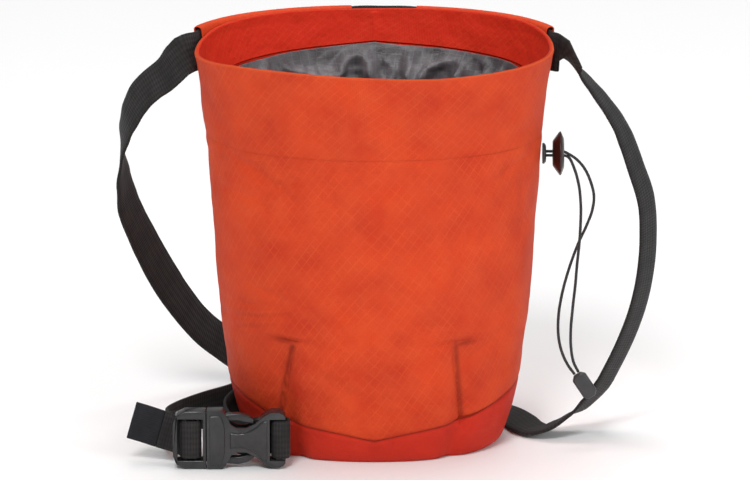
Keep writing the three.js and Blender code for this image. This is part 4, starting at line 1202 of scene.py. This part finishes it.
    def ridge(self, name: str, outline: Sequence[tuple[float, float]], front: float, rise: float) -> Piece:
        """A raised panel on the buckle's face: a flat outline extruded forward and inset to a soft edge.

        Args:
            name: Name of the piece.
            outline: Corners along and up in mm from the middle of the socket's mouth.
            front: How far in front of the buckle's middle the panel starts, in mm.
            rise: How far it stands out, in mm.

        Returns:
            The panel.
        """
        deselect_all()
        bpy.ops.mesh.primitive_circle_add(vertices=len(outline), radius=1.0, fill_type="NGON")
        piece = bpy.context.object
        for vertex, (along, up) in zip(piece.data.vertices, outline):
            vertex.co = as_metres((along, -front, up)) + self.buckle_centre
        with editing():
            bpy.ops.mesh.extrude_region_move(TRANSFORM_OT_translate={"value": (0, -rise * 0.6 * MM, 0)})
            bpy.ops.mesh.inset(thickness=0.45 * MM)
            bpy.ops.transform.translate(value=(0, -rise * 0.4 * MM, 0))
            bpy.ops.mesh.select_all(action="SELECT")
            bpy.ops.mesh.normals_make_consistent(inside=False)
        round_edges(piece, 0.16 * MM, 2, 20)
        return settle(piece, name, smooth=40.0)

    def buckle(self) -> list[Piece]:
        """Both halves of the buckle, with the raised panels and the dished end of the socket."""
        plastic = Moulded("buckle_plastic", (0.012, 0.012, 0.013, 1.0), (0.05, 0.051, 0.055, 1.0), 0.2).make()
        socket = softened_copy("buckle_socket", "socket_half", 0.7 * MM)
        plug = softened_copy("buckle_plug", "plug_half", 0.6 * MM)
        finish(socket, plastic, "moulded_black")
        finish(plug, plastic, "moulded_black")
        pieces = [socket, plug]
        waist = [(9.5, 3.4), (12.5, 2.9), (16.0, 3.3), (19.5, 5.2), (22.5, 8.0), (24.6, 8.6)]
        edge = [(1.2, 10.6), (5.4, 10.6), (6.6, 8.6), (7.4, 5.0)]
        for name, upper in (("socket_shield", waist), ("socket_lip", edge)):
            outline = upper + [(along, -up) for along, up in reversed(upper)]
            panel = self.ridge(name, outline, 3.2, 1.15)
            finish(panel, plastic, "moulded_black")
            pieces.append(panel)
        return pieces

    def build(self) -> list[Piece]:
        """Builds and dresses the belt's pieces."""
        sleeves = [
            self.sleeve("sleeve_right", "belt_sleeve_right", 3, 13),
            self.sleeve("sleeve_left", "belt_sleeve_left", 16, 27),
        ]
        return [self.webbing(), self.label(), *sleeves, *self.buckle()]


@dataclass
class Drawcord:
    """The drawcord at the bag's right side: eyelet, two strands, lock and pull."""

    form: PouchForm = field(default_factory=PouchForm)
    diameter: float = 1.2 * MM
    spread: float = 1.7 * MM
    far: tuple[Row, ...] = (
        (2.5, 0, -0.6), (5.6, -0.3, -2.8), (8.6, -0.7, -6.4), (11.0, -1.2, -11.6), (12.4, -1.7, -17.4),
        (11.8, -2.2, -23.4), (9.4, -2.9, -30), (6.4, -3.6, -36.6), (3.9, -4.5, -43), (1.6, -5.6, -50),
        (-0.5, -6.9, -58), (-1.9, -7.5, -67.5), (-1.8, -8.0, -76), (-0.3, -8.4, -82.6), (2.0, -8.8, -87.6),
        (4.9, -9, -91.7),
    )
    near: tuple[Row, ...] = (
        (1.9, 0, -1.6), (4.3, -0.9, -6.2), (6.2, -2.4, -13), (7.0, -4.0, -21), (6.9, -5.3, -29),
        (6.4, -6.5, -37), (5.6, -7.2, -45), (4.9, -7.8, -54), (3.9, -8.3, -63.5), (3.2, -8.7, -72.5),
        (3.3, -8.9, -80), (4.4, -9, -86.4), (6.45, -9, -90.7),
    )

    def strand(
        self, name: str, node: str, rows: Sequence[Row], side: int
    ) -> Piece:
        """One strand from the eyelet through the lock to the pull.

        Args:
            name: Name of the piece.
            node: The solid it stands for.
            rows: Its route past the lock, in mm from the lock's end.
            side: 1 for the upper place in the eyelet and -1 for the lower.

        Returns:
            The strand.
        """
        eyelet = self.form.point(0.0, 0.733 * self.form.height)
        start = eyelet.x + 0.8 * MM
        lock = start + 1.5 * MM + 2.7 * MM
        height = eyelet.z + side * self.spread / 2
        inside = [Vector((x, 0, height)) for x in (start, lock, lock + 4.0 * MM)]
        end = Vector((lock + 4.6 * MM, 0, eyelet.z))
        points = inside + [as_metres(row) + end for row in rows]
        route = Route(points, [Vector((0, 1, 0.02)).normalized()] * len(points))
        piece = tube(name, route, self.diameter)
        black, worn = (0.008, 0.008, 0.009, 1.0), (0.05, 0.05, 0.055, 1.0)
        cover = Braid(name + "_braid", black, worn, 3.8, route.length / MM)
        finish(piece, cover.make(), "cord", node)
        path = [route.at(index / 80)[0] for index in range(81)]
        [tuple(point) for point in path]
        log.info("%s is %.1f mm long", name, route.length / MM)
        return piece

    def build(self) -> list[Piece]:
        """Builds and dresses the cord's pieces."""
        black = Moulded("cord_fittings", (0.022, 0.022, 0.024, 1.0), (0.075, 0.076, 0.08, 1.0), 0.3).make()
        maroon = Moulded("lock_plastic", (0.013, 0.0045, 0.0035, 1.0), (0.04, 0.015, 0.012, 1.0), 0.3).make()
        eyelet = softened_copy("cord_eyelet", "eyelet_ring", 0.25 * MM, 2)
        lock = softened_copy("cord_lock", "lock_disc", 0.22 * MM, 2)
        pull = softened_copy("cord_pull", "pull_drop", 0.35 * MM, 2)
        finish(eyelet, black, "moulded_black")
        finish(lock, maroon, "moulded_black")
        finish(pull, black, "moulded_black")
        strands = [
            self.strand("cord_far", "drawcord_far", self.far, 1),
            self.strand("cord_near", "drawcord_near", self.near, -1),
        ]
        return [eyelet, lock, pull, *strands]


@dataclass
class Studio:
    """Pale floor, soft lamps and the camera at the photograph's viewing angle."""

    elevation: float = 15.8
    distance: float = 2.6
    lens: float = 304.0
    aim: Vector = field(default_factory=lambda: Vector((0.0004, 0.0, 0.0841)))

    def camera(self) -> None:
        """Makes the camera in front of the bag."""
        lift = math.radians(self.elevation)
        back = Vector((0, -math.cos(lift), math.sin(lift)))
        data = bpy.data.cameras.new("front_camera")
        data.lens, data.sensor_width = self.lens, 36.0
        data.clip_start, data.clip_end = 0.05, 50.0
        camera = bpy.data.objects.new("front_camera", data)
        camera.location = self.aim + back * self.distance
        camera.rotation_euler = (-back).to_track_quat("-Z", "Y").to_euler()
        bpy.context.scene.collection.objects.link(camera)
        bpy.context.scene.camera = camera

    def floor(self) -> None:
        """Lays the flat floor."""
        deselect_all()
        bpy.ops.mesh.primitive_plane_add(size=14.0, location=(0, 0, -0.0002))
        floor = settle(bpy.context.object, "studio_floor")
        floor.data.materials.append(StudioFloor().make())

    def lamps(self) -> None:
        """Hangs the soft lamps and sets the pale surroundings."""
        for lamp in Light:
            place, aim, size, power = lamp.value
            data = bpy.data.lights.new(lamp.name.lower(), "AREA")
            data.shape, data.size, data.energy = "DISK", size, power
            light = bpy.data.objects.new(lamp.name.lower(), data)
            light.location = place
            light.rotation_euler = (Vector(aim) - Vector(place)).to_track_quat("-Z", "Y").to_euler()
            bpy.context.scene.collection.objects.link(light)
        world = bpy.data.worlds.new("pale_surroundings")
        world.use_nodes = True
        world.node_tree.nodes["Background"].inputs[0].default_value = (1.0, 1.0, 1.0, 1.0)
        world.node_tree.nodes["Background"].inputs[1].default_value = 0.33
        bpy.context.scene.world = world
        bpy.context.scene.view_settings.view_transform = "Standard"


def main() -> None:
    """Builds every sub-assembly in order."""
    logging.basicConfig(level=logging.INFO, format="%(name)s: %(message)s")
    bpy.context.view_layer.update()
    studio = Studio()
    studio.camera()
    Drawcord().build()
    Pouch().build()
    Belt().build()
    studio.floor()
    studio.lamps()


if __name__ == "__main__":
    main()
